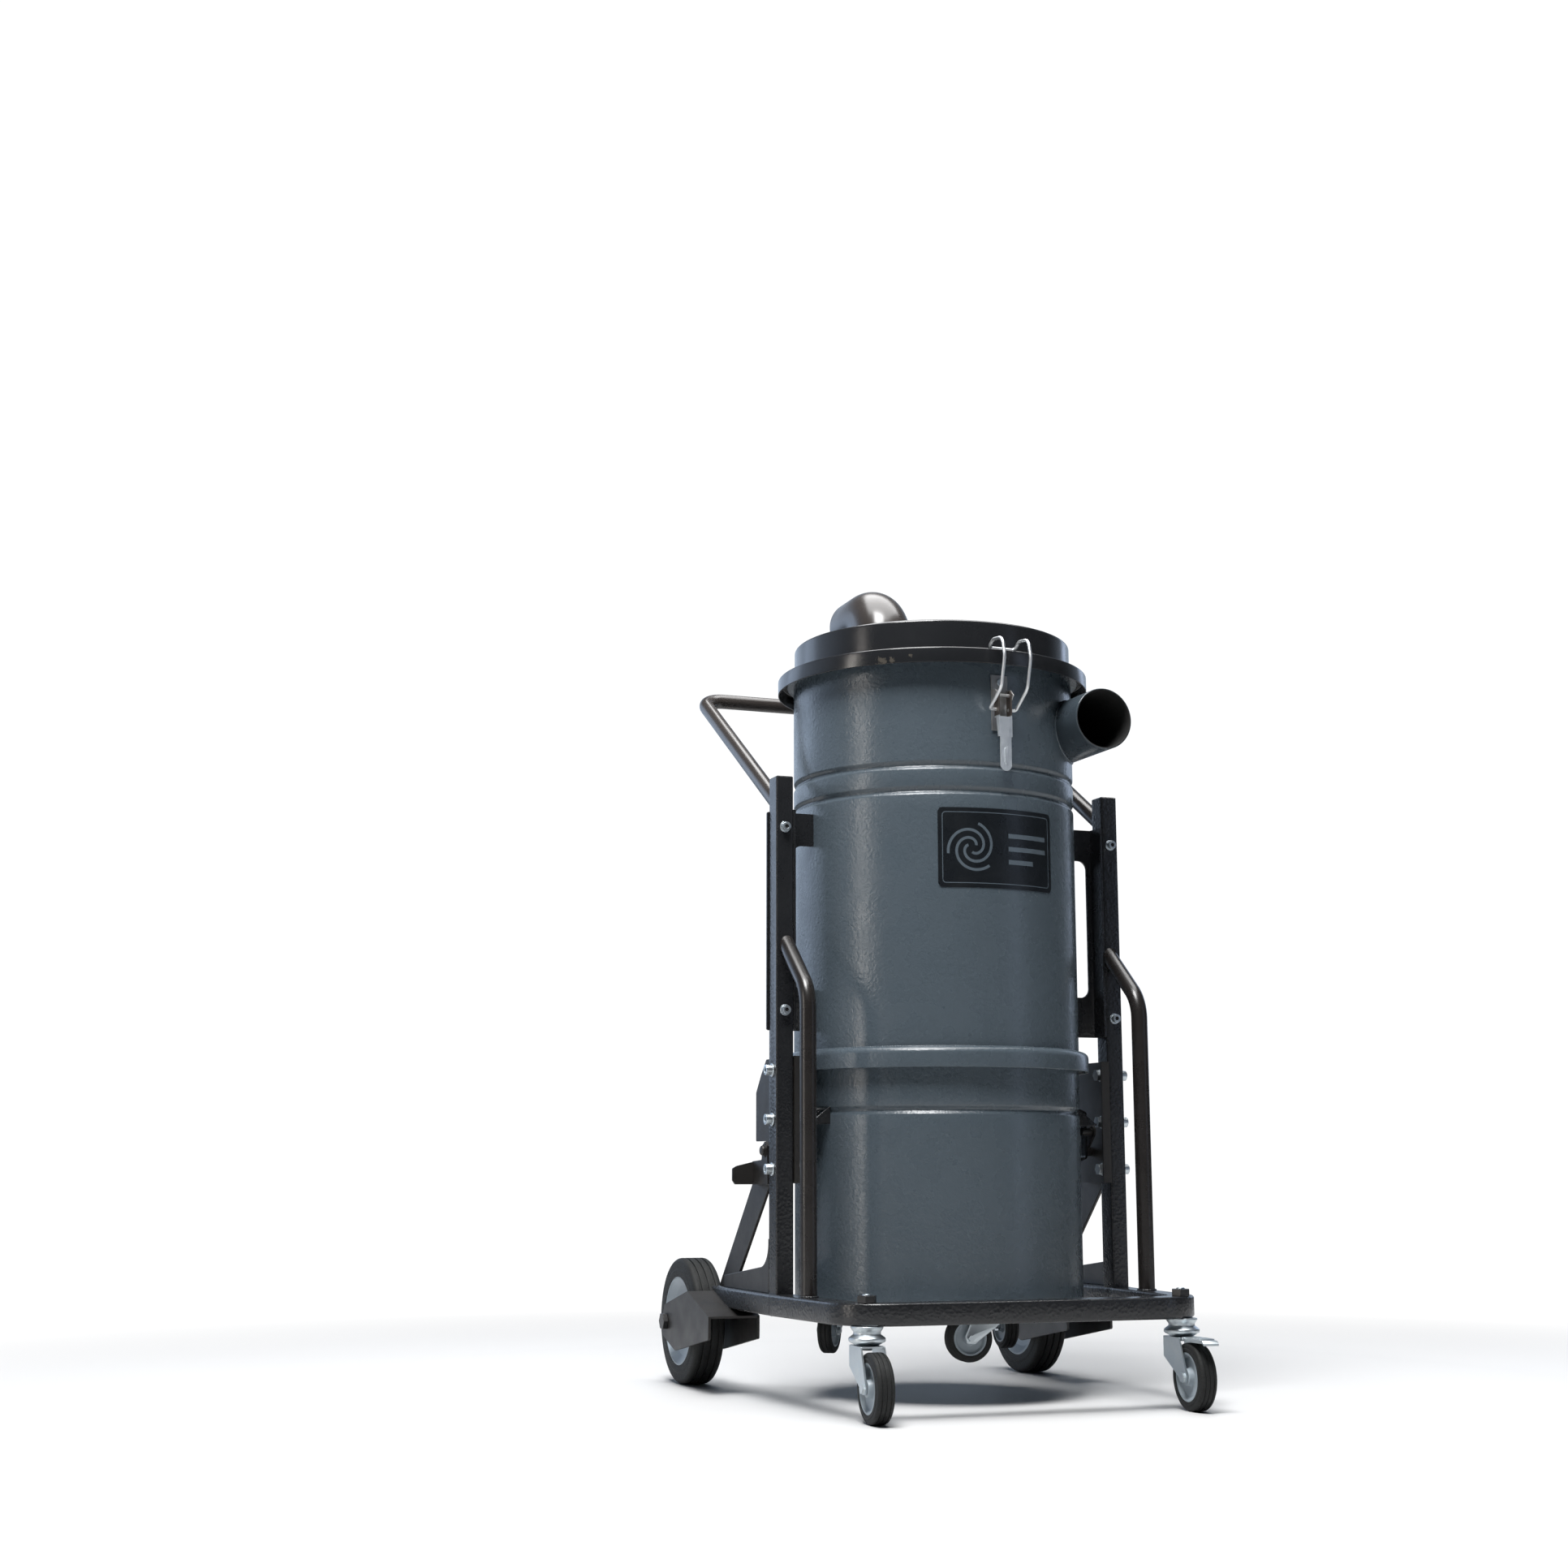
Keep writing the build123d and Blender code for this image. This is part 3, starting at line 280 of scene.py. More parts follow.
@dataclass(frozen=True)
class PlatedMetal:
    """Bright metal: zinc plate, stamped stainless sheet or plain steel, by its colours and grain.

    Zinc passivation drifts from blue to straw, and drawing or stamping leaves fine streaks.
    """

    name: str
    slot: str
    tone: str
    tone_drift: str
    roughness: float = 0.28
    streak: tuple[float, float, float] = (1, 1, 1)
    grain_mm: float = 1.2
    depth_mm: float = 0.01
    dark_above_mm: float = 0.0
    tint_mm: float = 22.0

    def build(self) -> bpy.types.Material:
        """Metal with drifting tint, streaked roughness and a shallow grain.

        Returns:
            The new material.
        """
        material, tree, shader = surface(self.name)
        tint = grain(tree, self.tint_mm, 4.0, 0.6, 0.5)
        colour = blended(tree, tint, srgb(self.tone), srgb(self.tone_drift))
        # Above dark_above_mm the colour is blended darker.
        if self.dark_above_mm:
            up = add_node(tree, "ShaderNodeSeparateXYZ", {"Vector": piece_place(tree)}).outputs["Z"]
            edge = self.dark_above_mm * MM
            darker_part = mapped(tree, up, edge, edge + 2 * MM, 0.0, 1.0)
            colour = blended(tree, darker_part, colour, srgb("#665f5a"))
        fine = grain(tree, self.grain_mm, 3.0, 0.6, 0.0, self.streak)
        rough = mapped(tree, fine, 0.25, 0.75, self.roughness * 0.75, self.roughness * 1.35)
        bump = add_node(tree, "ShaderNodeBump", {"Height": fine, "Distance": self.depth_mm * MM})
        wire_shader(tree, shader, colour, rough, bump, Metallic=1.0)
        return material


@dataclass(frozen=True)
class MouldedRubber:
    """Moulded black rubber: a dry, slightly dusty face with a fine mould grain."""

    name: str
    slot: str
    tone: str
    dust: str
    roughness: float = 0.68
    grain_mm: float = 1.6
    patch_mm: float = 30.0
    depth_mm: float = 0.06

    def build(self) -> bpy.types.Material:
        """Rubber with dust in slow patches and a fine grain.

        Returns:
            The new material.
        """
        material, tree, shader = surface(self.name)
        patches = mapped(tree, grain(tree, self.patch_mm, 5.0, 0.65), 0.42, 0.75, 0.0, 0.55)
        colour = blended(tree, patches, srgb(self.tone), srgb(self.dust))
        fine = grain(tree, self.grain_mm, 3.0)
        rough = mapped(tree, fine, 0.3, 0.7, self.roughness * 0.85, self.roughness * 1.2)
        bump = add_node(tree, "ShaderNodeBump", {"Height": fine, "Distance": self.depth_mm * MM})
        wire_shader(tree, shader, colour, rough, bump, IOR=1.52, Specular_IOR_Level=0.3)
        return material


class Finish(Enum):
    """Every finish on the machine, as its recipe."""

    # Gloss polyester on rolled steel: soft streaks of light broken by peel, drawn coarser than real.
    SLATE = PowderCoat("slate_gloss_powder_coat", "slate_coat", "#475158", "#4d575f",
                       roughness=0.27, peel_mm=5.6, peel_depth_mm=0.46)
    # Gloss polyester on pressed steel: deep and mirror-like, with a few dull knocks.
    LID = PowderCoat("black_gloss_powder_coat", "lid_coat", "#1c1d1f", "#222325",
                     roughness=0.19, peel_mm=3.5, peel_depth_mm=0.05,
                     scuffs=((-132.0, 250.5, 1107.0, 10.0), (-128.5, 250.5, 1108.0, 6.5),
                             (-121.5, 250.5, 1114.0, 3.5)))
    # Hammer powder on tube: a tight lumpy skin, drawn coarser than real, that glints on edges.
    HAMMER = PowderCoat("black_hammer_powder_coat", "frame_coat", "#1a1b1d", "#202123",
                        roughness=0.27, peel_mm=3.0, peel_depth_mm=0.04, hammer_mm=5.0, hammer_depth_mm=0.3)
    # Satin powder on cut plate: smooth brownish black, nearly without a gleam.
    PLATE = PowderCoat("black_satin_powder_coat", "frame_coat", "#1b1918", "#211f1d",
                       roughness=0.44, peel_mm=3.0, peel_depth_mm=0.03)
    # Satin powder on bent rod: a narrow bright line along a dark round.
    TUBE = PowderCoat("dark_satin_powder_coat", "tube_coat", "#1d1a18", "#242120",
                      roughness=0.27, peel_mm=3.5, peel_depth_mm=0.05)
    # Slate powder on the inlet tube: dull black, with painted shade inside its bore.
    PIPE = PowderCoat("deep_slate_powder_coat", "tube_coat", "#333b41", "#394148",
                      roughness=0.24, peel_mm=6.0, peel_depth_mm=0.35, bore=(177.0, 1030.0, 46.3))
    # Brown-grey satin powder on elbow and push handle, a lighter copy of the tube coat: partly their own tone,
    # partly painted light on their upward faces; broad soft highlights.
    SATIN = PowderCoat("brown_grey_satin_powder_coat", "tube_coat", "#2f2b29", "#363230",
                       roughness=0.24, peel_mm=7.0, peel_depth_mm=0.03)
    # Blue-passivated zinc on stamped steel: bright and cool, with straw patches.
    ZINC = PlatedMetal("blue_passivated_zinc_plate", "bright_zinc", "#b4bfc7", "#c6cbcc", roughness=0.36)
    # Dull zinc on rolled sheet: grey, faintly streaked along the rolling.
    CLASP = PlatedMetal("zinc_plated_clasp_sheet", "latch_steel", "#adb0b2", "#9b9894",
                        roughness=0.5, streak=(1.0, 1.0, 0.12))
    # Stamped stainless: pale and matt, darker above a set height.
    STAMPED = PlatedMetal("stamped_stainless_sheet", "latch_steel", "#e2e6e9", "#d2d8dd",
                          roughness=0.52, streak=(1.0, 1.0, 0.12), dark_above_mm=1024.0)
    # Drawn spring wire: pale, with an even sheen.
    WIRE = PlatedMetal("drawn_spring_wire", "latch_steel", "#dfe1e2", "#cfd2d4", roughness=0.42)
    # Plain mill sheet, hidden inside the drum.
    SHEET = PlatedMetal("plain_sheet_steel", "inner_steel", "#8d8f92", "#7f8184", roughness=0.42)
    # Black-oxide nuts and bolts: dark, oily and smooth.
    OXIDE = PowderCoat("black_oxide_steel", "black_nut", "#141415", "#1d1d1e",
                       roughness=0.34, peel_mm=1.4, peel_depth_mm=0.04)
    # Sprayed enamel on pressed discs: pale blue-grey with a soft gleam.
    ENAMEL = PowderCoat("grey_wheel_enamel", "rim_grey", "#8e9aa4", "#98a3ac",
                        roughness=0.36, peel_mm=3.2, peel_depth_mm=0.05)
    # Injection-moulded nylon: pale grey and slightly waxy.
    NYLON = PowderCoat("grey_moulded_nylon", "rim_grey", "#8f9aa2", "#99a3aa",
                       roughness=0.42, peel_mm=2.0, peel_depth_mm=0.03)
    # Moulded solid rubber: dry, dusty black.
    TYRE = MouldedRubber("solid_black_tyre_rubber", "tyre_rubber", "#191a1a", "#282a2a")
    # Extruded sealing rubber: matt and almost black. The same material paints the shade in the screw sockets.
    SEAL_AND_SOCKET_SHADE = MouldedRubber("black_sealing_rubber", "gasket", "#0e0e0f", "#1c1c1c", roughness=0.62)
    # Needled polyester felt: fibrous, with no shine.
    FELT = MouldedRubber("pleated_filter_felt", "filter_media", "#b9b4a6", "#a8a294", roughness=0.9)
    # Printed label film over the drum's peel: satin blue-black.
    FILM = PowderCoat("dark_satin_label_film", "label", "#101316", "#15191d",
                      roughness=0.3, peel_mm=5.5, peel_depth_mm=0.3)
    # The label's grey ink.
    PRINT = PowderCoat("grey_label_print", "label", "#4d575f", "#535d65",
                       roughness=0.33, peel_mm=5.5, peel_depth_mm=0.3)

    def material(self) -> bpy.types.Material:
        """The finish's material, built once."""
        return bpy.data.materials.get(self.value.name) or self.value.build()


# ---- Surfaces ----------------------------------------------------------------------------
def grid_object(name: str, points: np.ndarray, finish: Finish, body: str, replaces: Sequence[str] = (),
                close_u: bool = False, close_v: bool = True, inward: bool = False) -> bpy.types.Object:
    """Make a smooth-shaded piece from a grid of points, each square of neighbours being one face.

    Args:
        name: the piece's name.
        points: array of rows by columns by three, in millimetres.
        finish: what it is coated with.
        body: the body it moves with.
        replaces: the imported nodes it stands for.
        close_u: joins the last row to the first.
        close_v: joins the last column to the first.
        inward: turns the faces over.
    Returns:
        The new object.
    """
    mesh = bpy.data.meshes.new(name)
    mesh.from_pydata((points.reshape(-1, 3) * MM).tolist(), [],
                     grid_faces(points, close_u, close_v, inward).tolist())
    merge_and_shade(mesh)
    return settle(bpy.data.objects.new(name, mesh), finish, body, replaces)


def grid_faces(points: np.ndarray, close_u: bool, close_v: bool, inward: bool = False) -> np.ndarray:
    """Four corner numbers for each square: row times columns plus column, wrapped at the seams.

    Args:
        points: the grid of points.
        close_u: joins the last row to the first.
        close_v: joins the last column to the first.
        inward: turns the faces over.
    Returns:
        One row of four numbers a face.
    """
    rows, cols = points.shape[:2]
    u = np.arange(rows if close_u else rows - 1)[:, None]
    v = np.arange(cols if close_v else cols - 1)[None, :]
    corners = [((u + du) % rows) * cols + (v + dv) % cols for du, dv in ((0, 0), (0, 1), (1, 1), (1, 0))]
    quads = np.stack([np.broadcast_to(c, (u.size, v.size)) for c in corners], axis=-1).reshape(-1, 4)
    return quads[:, ::-1] if inward else quads


def merge_and_shade(mesh: bpy.types.Mesh, recalculate: bool = False) -> None:
    """Close poles and seams, drop empty faces and shade smooth up to the fold angle.

    Args:
        mesh: the mesh to clean.
        recalculate: turns every face outwards, for a closed shell.
    """
    work = bmesh.new()
    work.from_mesh(mesh)
    bmesh.ops.remove_doubles(work, verts=work.verts, dist=MERGE)
    bmesh.ops.dissolve_degenerate(work, edges=work.edges, dist=MERGE / 10)
    if recalculate:
        bmesh.ops.recalc_face_normals(work, faces=work.faces)
    work.to_mesh(mesh)
    work.free()
    shade(mesh, FOLD_DEG)


def shade(mesh: bpy.types.Mesh, sharp_deg: float) -> None:
    """Shade a mesh smooth, but keep edges folded more than an angle sharp."""
    mesh.polygons.foreach_set("use_smooth", np.ones(len(mesh.polygons), bool))
    mesh.set_sharp_from_angle(angle=math.radians(sharp_deg))


def settle(piece: bpy.types.Object, finish: Finish, body: str,
           replaces: Sequence[str]) -> bpy.types.Object:
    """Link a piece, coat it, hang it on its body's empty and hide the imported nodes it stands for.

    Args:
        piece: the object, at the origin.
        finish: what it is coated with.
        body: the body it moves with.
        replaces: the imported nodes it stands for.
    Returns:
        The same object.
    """
    bpy.context.scene.collection.objects.link(piece)
    piece.data.materials.clear()
    piece.data.materials.append(finish.material())
    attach(piece, body)
    if replaces:
        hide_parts(*replaces)
    LOG.info("%s: %d faces on %s", piece.name, len(piece.data.polygons), body)
    return piece


def rounded(corners: Sequence[Sequence[float]], radii: float | Sequence[float], steps: int = 6,
            closed: bool = True) -> np.ndarray:
    """Round the corners of a polygon or of a path in space with arcs.

    At each corner the arc starts radius / tan(half the corner's angle) back along both sides,
    and turns about a point on the corner's bisector.

    Args:
        corners: the corners, in order.
        radii: one radius, or one a corner; zero keeps it sharp.
        steps: points on each arc.
        closed: whether the last corner joins the first.
    Returns:
        The points of the rounded line.
    """
    pts = np.asarray(corners, float)
    out: list[np.ndarray] = []
    count = len(pts)
    for i, radius in enumerate(np.broadcast_to(radii, (count,))):
        here = pts[i]
        if radius <= 0 or (not closed and i in (0, count - 1)):
            out.append(here[None])
            continue
        back, ahead = pts[i - 1] - here, pts[(i + 1) % count] - here
        back, ahead = back / np.linalg.norm(back), ahead / np.linalg.norm(ahead)
        half = 0.5 * math.acos(float(np.clip(back @ ahead, -1, 1)))
        reach = radius / math.tan(half)
        middle = here + (back + ahead) / np.linalg.norm(back + ahead) * (radius / math.sin(half))
        start, end = here + back * reach - middle, here + ahead * reach - middle
        sweep = math.pi - 2 * half
        t = np.linspace(0, 1, steps)[:, None]
        out.append(middle + (np.sin((1 - t) * sweep) * start + np.sin(t * sweep) * end) / math.sin(sweep))
    return np.concatenate(out)


def turned(profile: np.ndarray, segments: int, centre: Sequence[float] = (0, 0, 0),
           axis: Sequence[float] = (0, 0, 1)) -> np.ndarray:
    """Turn a profile about an axis: each point goes round a circle of its own radius.

    Args:
        profile: rows of radius and distance along the axis.
        segments: columns of the grid.
        centre: a point on the axis that distances start from.
        axis: the axis direction.
    Returns:
        Grid of profile points by segments.
    """
    along = np.asarray(axis, float) / np.linalg.norm(axis)
    guide = np.array([1.0, 0, 0]) if abs(along[0]) < 0.9 else np.array([0, 1.0, 0])
    first = guide - along * (guide @ along)
    first /= np.linalg.norm(first)
    second = np.cross(along, first)
    angle = np.linspace(0, 2 * math.pi, segments, endpoint=False)
    ring = np.cos(angle)[:, None] * first + np.sin(angle)[:, None] * second
    return np.asarray(centre, float) + profile[:, None, 1:2] * along + profile[:, None, 0:1] * ring[None]


def path_frames(path: np.ndarray, guide: Sequence[float]) -> tuple[np.ndarray, np.ndarray]:
    """Two unit directions across a path at each of its stations.

    The first is the guide carried along, each time made square to the local tangent, so the
    section doesn't twist; the second completes the square.

    Args:
        path: the stations.
        guide: where the first direction points at the start.
    Returns:
        The two directions, one row a station.
    """
    tangent = np.gradient(path, axis=0)
    tangent /= np.linalg.norm(tangent, axis=1, keepdims=True)
    across = np.zeros_like(path)
    current = np.asarray(guide, float)
    for i, along in enumerate(tangent):
        current = current - along * (current @ along)
        current /= np.linalg.norm(current)
        across[i] = current
    return across, np.cross(tangent, across)


def ringed(path: np.ndarray, frames: tuple[np.ndarray, np.ndarray], section: np.ndarray,
           scale: float | np.ndarray = 1.0) -> np.ndarray:
    """Set a closed section at every station: station + scale * (a * first + b * second).

    Args:
        path: the stations.
        frames: two directions across the path at each of them.
        section: rows of the offsets a and b.
        scale: one size, or one a station.
    Returns:
        Grid of stations by section points.
    """
    first, second = (way[:, None] for way in frames)
    size = np.broadcast_to(scale, (len(path),))[:, None, None]
    return path[:, None] + size * (section[None, :, 0:1] * first + section[None, :, 1:2] * second)


def carried(path: np.ndarray, section: np.ndarray, guide: Sequence[float]) -> np.ndarray:
    """Carry a closed section along a path without a twist."""
    return ringed(path, path_frames(path, guide), section)


def capped(points: np.ndarray) -> np.ndarray:
    """Close both ends of a carried grid by drawing the end rows in to their middles."""
    ends = [np.broadcast_to(row.mean(axis=0), row.shape)[None] for row in (points[0], points[-1])]
    return np.concatenate([ends[0], points, ends[1]])


def circle(radius: float, count: int = 32) -> np.ndarray:
    """A closed round section."""
    angle = np.linspace(0, 2 * math.pi, count, endpoint=False)
    return radius * np.stack([np.cos(angle), np.sin(angle)], axis=1)


def bead(name: str, path: np.ndarray, radius: float, guide: Sequence[float], finish: Finish,
         pitch: float = 4.0) -> bpy.types.Object:
    """Lay a weld bead on the trolley: a thin round run whose radius swells once a pitch.

    Args:
        name: the piece's name.
        path: the seam.
        radius: the bead's mean radius.
        guide: a direction across the path.
        finish: what it is coated with.
        pitch: length of one ripple, in millimetres.
    Returns:
        The new object.
    """
    length = np.concatenate([[0], np.cumsum(np.linalg.norm(np.diff(path, axis=0), axis=1))])
    stations = np.arange(0, length[-1], pitch / 4)
    fine = np.stack([np.interp(stations, length, path[:, k]) for k in range(3)], axis=1)
    swell = radius * (1 + 0.16 * np.sin(stations * 2 * math.pi / pitch))
    points = ringed(fine, path_frames(fine, guide), circle(1.0, 10), swell)
    return grid_object(name, capped(points), finish, "trolley")


def round_bead(name: str, seam: tuple[float, float], count: int, centre: Sequence[float],
               radius: float, finish: Finish) -> None:
    """Lay a weld bead round an upright tube or drum.

    Args:
        name: the piece's name.
        seam: the seam's radius and height.
        count: corners of the seam's circle.
        centre: a point on the axis.
        radius: the bead's mean radius.
        finish: what it is coated with.
    """
    ring = turned(np.array([seam]), count, centre)[0]
    bead(name, np.concatenate([ring, ring[:1]]), radius, UP, finish)


def dressed_copy(node: str, finish: Finish, body: str, edge_mm: float) -> bpy.types.Object:
    """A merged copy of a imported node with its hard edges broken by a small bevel.

    Args:
        node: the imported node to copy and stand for.
        finish: what it is coated with.
        body: the body it moves with.
        edge_mm: bevel width.
    Returns:
        The copy.
    """
    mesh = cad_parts[node].data.copy()
    work = bmesh.new()
    work.from_mesh(mesh)
    bmesh.ops.remove_doubles(work, verts=work.verts, dist=2 * MERGE)
    bmesh.ops.dissolve_limit(work, angle_limit=FLAT, verts=work.verts, edges=work.edges)
    work.to_mesh(mesh)
    work.free()
    shade(mesh, EDGE_DEG)
    piece = bpy.data.objects.new(f"{node}_skin", mesh)
    bevel = piece.modifiers.new("broken_edges", "BEVEL")
    bevel.width = edge_mm * MM
    bevel.segments = 2
    bevel.limit_method = "ANGLE"
    bevel.angle_limit = math.radians(EDGE_DEG)
    return settle(piece, finish, body, [node])


def cut_round(piece: bpy.types.Object, start: Sequence[float], end: Sequence[float],
              radius: float) -> None:
    """Bore a round hole through a piece and keep the result.

    Args:
        piece: the object to bore.
        start: where the bore's axis starts, in millimetres.
        end: where it ends.
        radius: the bore's radius.
    """
    path = np.array([start, end], float)
    guide = UP if abs(path[1, 2] - path[0, 2]) < 1 else (1, 0, 0)
    points = capped(carried(path, circle(radius, 96), guide))
    tool_mesh = bpy.data.meshes.new("bore_tool")
    tool_mesh.from_pydata((points.reshape(-1, 3) * MM).tolist(), [],
                          grid_faces(points, False, True).tolist())
    merge_and_shade(tool_mesh, recalculate=True)
    tool = bpy.data.objects.new("bore_tool", tool_mesh)
    bpy.context.scene.collection.objects.link(tool)
    cut = piece.modifiers.new("bore", "BOOLEAN")
    cut.operation, cut.solver, cut.object = "DIFFERENCE", "EXACT", tool
    graph = bpy.context.evaluated_depsgraph_get()
    piece.data = bpy.data.meshes.new_from_object(piece.evaluated_get(graph))
    piece.modifiers.clear()
    bpy.data.objects.remove(tool)
    bpy.data.meshes.remove(tool_mesh)
    shade(piece.data, FOLD_DEG)


def radial(angle_deg: float) -> np.ndarray:
    """Unit vector pointing out of the drum at an angle."""
    a = math.radians(angle_deg)
    return np.array([math.cos(a), math.sin(a), 0.0])


def tangent(angle_deg: float) -> np.ndarray:
    """Unit vector round the drum at an angle."""
    return radial(angle_deg + 90)


# ---- Drum, collar, inlet -----------------------------------------------------------------
@dataclass
class SheetVessel:
    """A rolled sheet wall with pressed grooves; the drum and the bin are both this."""

    radius: float
    foot: float
    top: float
    grooves: tuple[float, ...]
    rim_radius: float = 236.0
    sheet: float = 2.0
    groove_depth: float = 4.0
    groove_half: float = 7.5
    rim_thick: float = 3.0
    floor_bend: float = 5.0
    floor_rise: float = 40.0
    segments: int = 256

    def dip(self, height: np.ndarray) -> np.ndarray:
        """How far the wall is pressed in at a height: a raised cosine over each groove."""
        away = np.abs(height[:, None] - np.array(self.grooves)[None, :]) / self.groove_half
        return (np.where(away < 1, 0.5 + 0.5 * np.cos(math.pi * away), 0) * self.groove_depth).sum(axis=1)

    def heights(self, low: float, high: float) -> np.ndarray:
        """Stations up the wall: one every 25 mm, and thirteen across each groove."""
        stations = [np.arange(low, high, 25.0), [high]]
        stations += [np.linspace(g - self.groove_half, g + self.groove_half, 13) for g in self.grooves]
        return np.unique(np.concatenate(stations))

    def wall(self, floor: bool) -> np.ndarray:
        """Half section of the wall with its turned-out rim.

        Args:
            floor: whether a floor closes the bottom.
        Returns:
            Rows of radius and height, all the way round the sheet.
        """
        r, inside, lip = self.radius, self.radius - self.sheet, self.rim_thick
        z_out = self.heights(self.foot + (6.0 if floor else 1.0), self.top - lip - 2)
        outer = np.stack([r - self.dip(z_out), z_out], axis=1)
        inner = outer[::-1] - [self.sheet, 0]
        edge = lip / 2.1
        rim = rounded([(r, self.top - lip), (self.rim_radius, self.top - lip),
                       (self.rim_radius, self.top), (inside, self.top)],
                      (1.5, edge, edge, 1.5), closed=False)
        if not floor:
            foot = np.array([[inside, self.foot], [r, self.foot]])
            return np.concatenate([foot, outer, rim, inner])
        low, rise, bend = self.foot + self.sheet, self.foot + self.floor_rise, self.floor_bend
        under = rounded([(0, self.foot), (r, self.foot), (r, rise)], (0, bend, 0), closed=False)[:-1]
        over = rounded([(inside, rise), (inside, low), (0, low)],
                       (0, bend - self.sheet, 0), closed=False)[1:]
        return np.concatenate([under, outer, rim, inner, over])


@dataclass
class SeparatorDrum:
    """The upper drum with its collar, tangential inlet tube and blank name plate."""

    vessel: SheetVessel = field(
        default_factory=lambda: SheetVessel(225.0, 506.0, 1119.0, (910.0, 949.0)))
    collar_radius: float = 240.0
    collar_low: float = 492.0
    collar_high: float = 523.0
    pipe_radius: float = 48.0
    pipe_wall: float = 3.0
    inlet_x: float = 177.0
    inlet_z: float = 1030.0
    mouth_y: float = -254.0
    end_y: float = -40.0
    plate_angle: float = -87.0
    plate_width: float = 200.8
    plate_low: float = 761.0
    plate_high: float = 883.0
    plate_thick: float = 0.8
    plate_corner: float = 6.0
    print_thick: float = 0.06
    border_inset: float = 7.0
    whirl_x: float = -48.0
    whirl_start: float = 4.0
    whirl_growth: float = 6.2
    bar_x: float = 12.0
    bars: tuple[tuple[float, float], ...] = ((74.0, 20.0), (74.0, 0.0), (46.0, -20.0))

    def build(self) -> None:
        """Build every piece of the drum."""
        self.build_shell()
        self.build_collar()
        self.build_inlet()
        self.build_plate()

    def build_shell(self) -> None:
        """Turn the wall, then bore the way in for the inlet tube."""
        shell = grid_object("drum_shell", turned(self.vessel.wall(False), self.vessel.segments),
                            Finish.SLATE, "trolley", ["separator_drum"], close_u=True, inward=True)
        cut_round(shell, (self.inlet_x, self.mouth_y, self.inlet_z),
                  (self.inlet_x, self.end_y, self.inlet_z), self.pipe_radius - self.pipe_wall)

    def build_collar(self) -> None:
        """The skirt that hides the joint to the bin: a thin band with a rounded shoulder."""
        r, low, high, inside = self.collar_radius, self.collar_low, self.collar_high, self.vessel.radius
        t = self.vessel.sheet
        section = rounded([(inside, high), (r, high), (r, low), (r - t, low), (r - t, high - t),
                           (inside, high - t)], (0, 10, 0.9, 0.9, 8, 0), steps=10)
        grid_object("drum_collar_band", turned(section, self.vessel.segments), Finish.SLATE, "trolley",
                    ["drum_collar"], close_u=True)
        round_bead("collar_weld", (inside + 0.4, high + 0.2), 360, (0, 0, 0), 1.3, Finish.SLATE)

    def saddle(self, angle: np.ndarray, radius: float) -> np.ndarray:
        """Where the tube meets the drum: y = -sqrt(R^2 - x^2), stopped at the tube's end.

        Args:
            angle: angles round the tube.
            radius: the tube wall's radius.
        Returns:
            The height of the cut along Y at each angle.
        """
        x = np.clip(self.inlet_x + radius * np.cos(angle), 0, self.vessel.radius - 0.01)
        return np.minimum(-np.sqrt(self.vessel.radius ** 2 - x ** 2), self.end_y)

    def build_inlet(self) -> None:
        """The tangential tube, cut to the drum's curve, with a rolled lip and a weld bead."""
        count, stations = 128, 12
        angle = np.linspace(0, 2 * math.pi, count, endpoint=False)
        outer, inner = self.pipe_radius, self.pipe_radius - self.pipe_wall
        run = np.linspace(0, 1, stations)
        turn = np.linspace(0, math.pi, 7)[1:-1]
        middle, half = (outer + inner) / 2, self.pipe_wall / 2
        radius = np.concatenate([np.full(stations, outer), middle + half * np.cos(turn),
                                 np.full(stations, inner)])
        lip_y = self.mouth_y + half
        end_out, end_in = self.saddle(angle, outer), self.saddle(angle, inner)
        y = np.concatenate([
            end_out + (lip_y - end_out) * run[:, None],
            np.broadcast_to((lip_y - half * np.sin(turn))[:, None], (len(turn), count)),
            lip_y + (end_in - lip_y) * run[:, None]])
        points = np.stack([self.inlet_x + radius[:, None] * np.cos(angle), y,
                           self.inlet_z + radius[:, None] * np.sin(angle)], axis=-1)
        grid_object("inlet_pipe", points, Finish.PIPE, "trolley", ["inlet_tube"], close_u=True)
        flank = math.sqrt(self.vessel.radius ** 2 - self.end_y ** 2)
        opening = math.acos((flank - self.inlet_x) / outer)
        along = np.linspace(opening, 2 * math.pi - opening, 160)
        toe = outer + 0.3
        line = np.stack([self.inlet_x + toe * np.cos(along), self.saddle(along, outer) - 0.4,
                         self.inlet_z + toe * np.sin(along)], axis=1)
        bead("inlet_weld", line, 1.6, (0, 1, 0), Finish.SLATE)

    def on_drum(self, across: np.ndarray, height: np.ndarray, proud: float) -> np.ndarray:
        """Bend flat points onto the drum: the angle is the distance across over the radius.

        Args:
            across: distances round the wall from the plate's middle.
            height: heights.
            proud: how far the points stand off the wall.
        Returns:
            The points.
        """
        angle = math.radians(self.plate_angle) + across / self.vessel.radius
        r = self.vessel.radius + proud
        return np.stack([r * np.cos(angle), r * np.sin(angle), height], axis=-1)

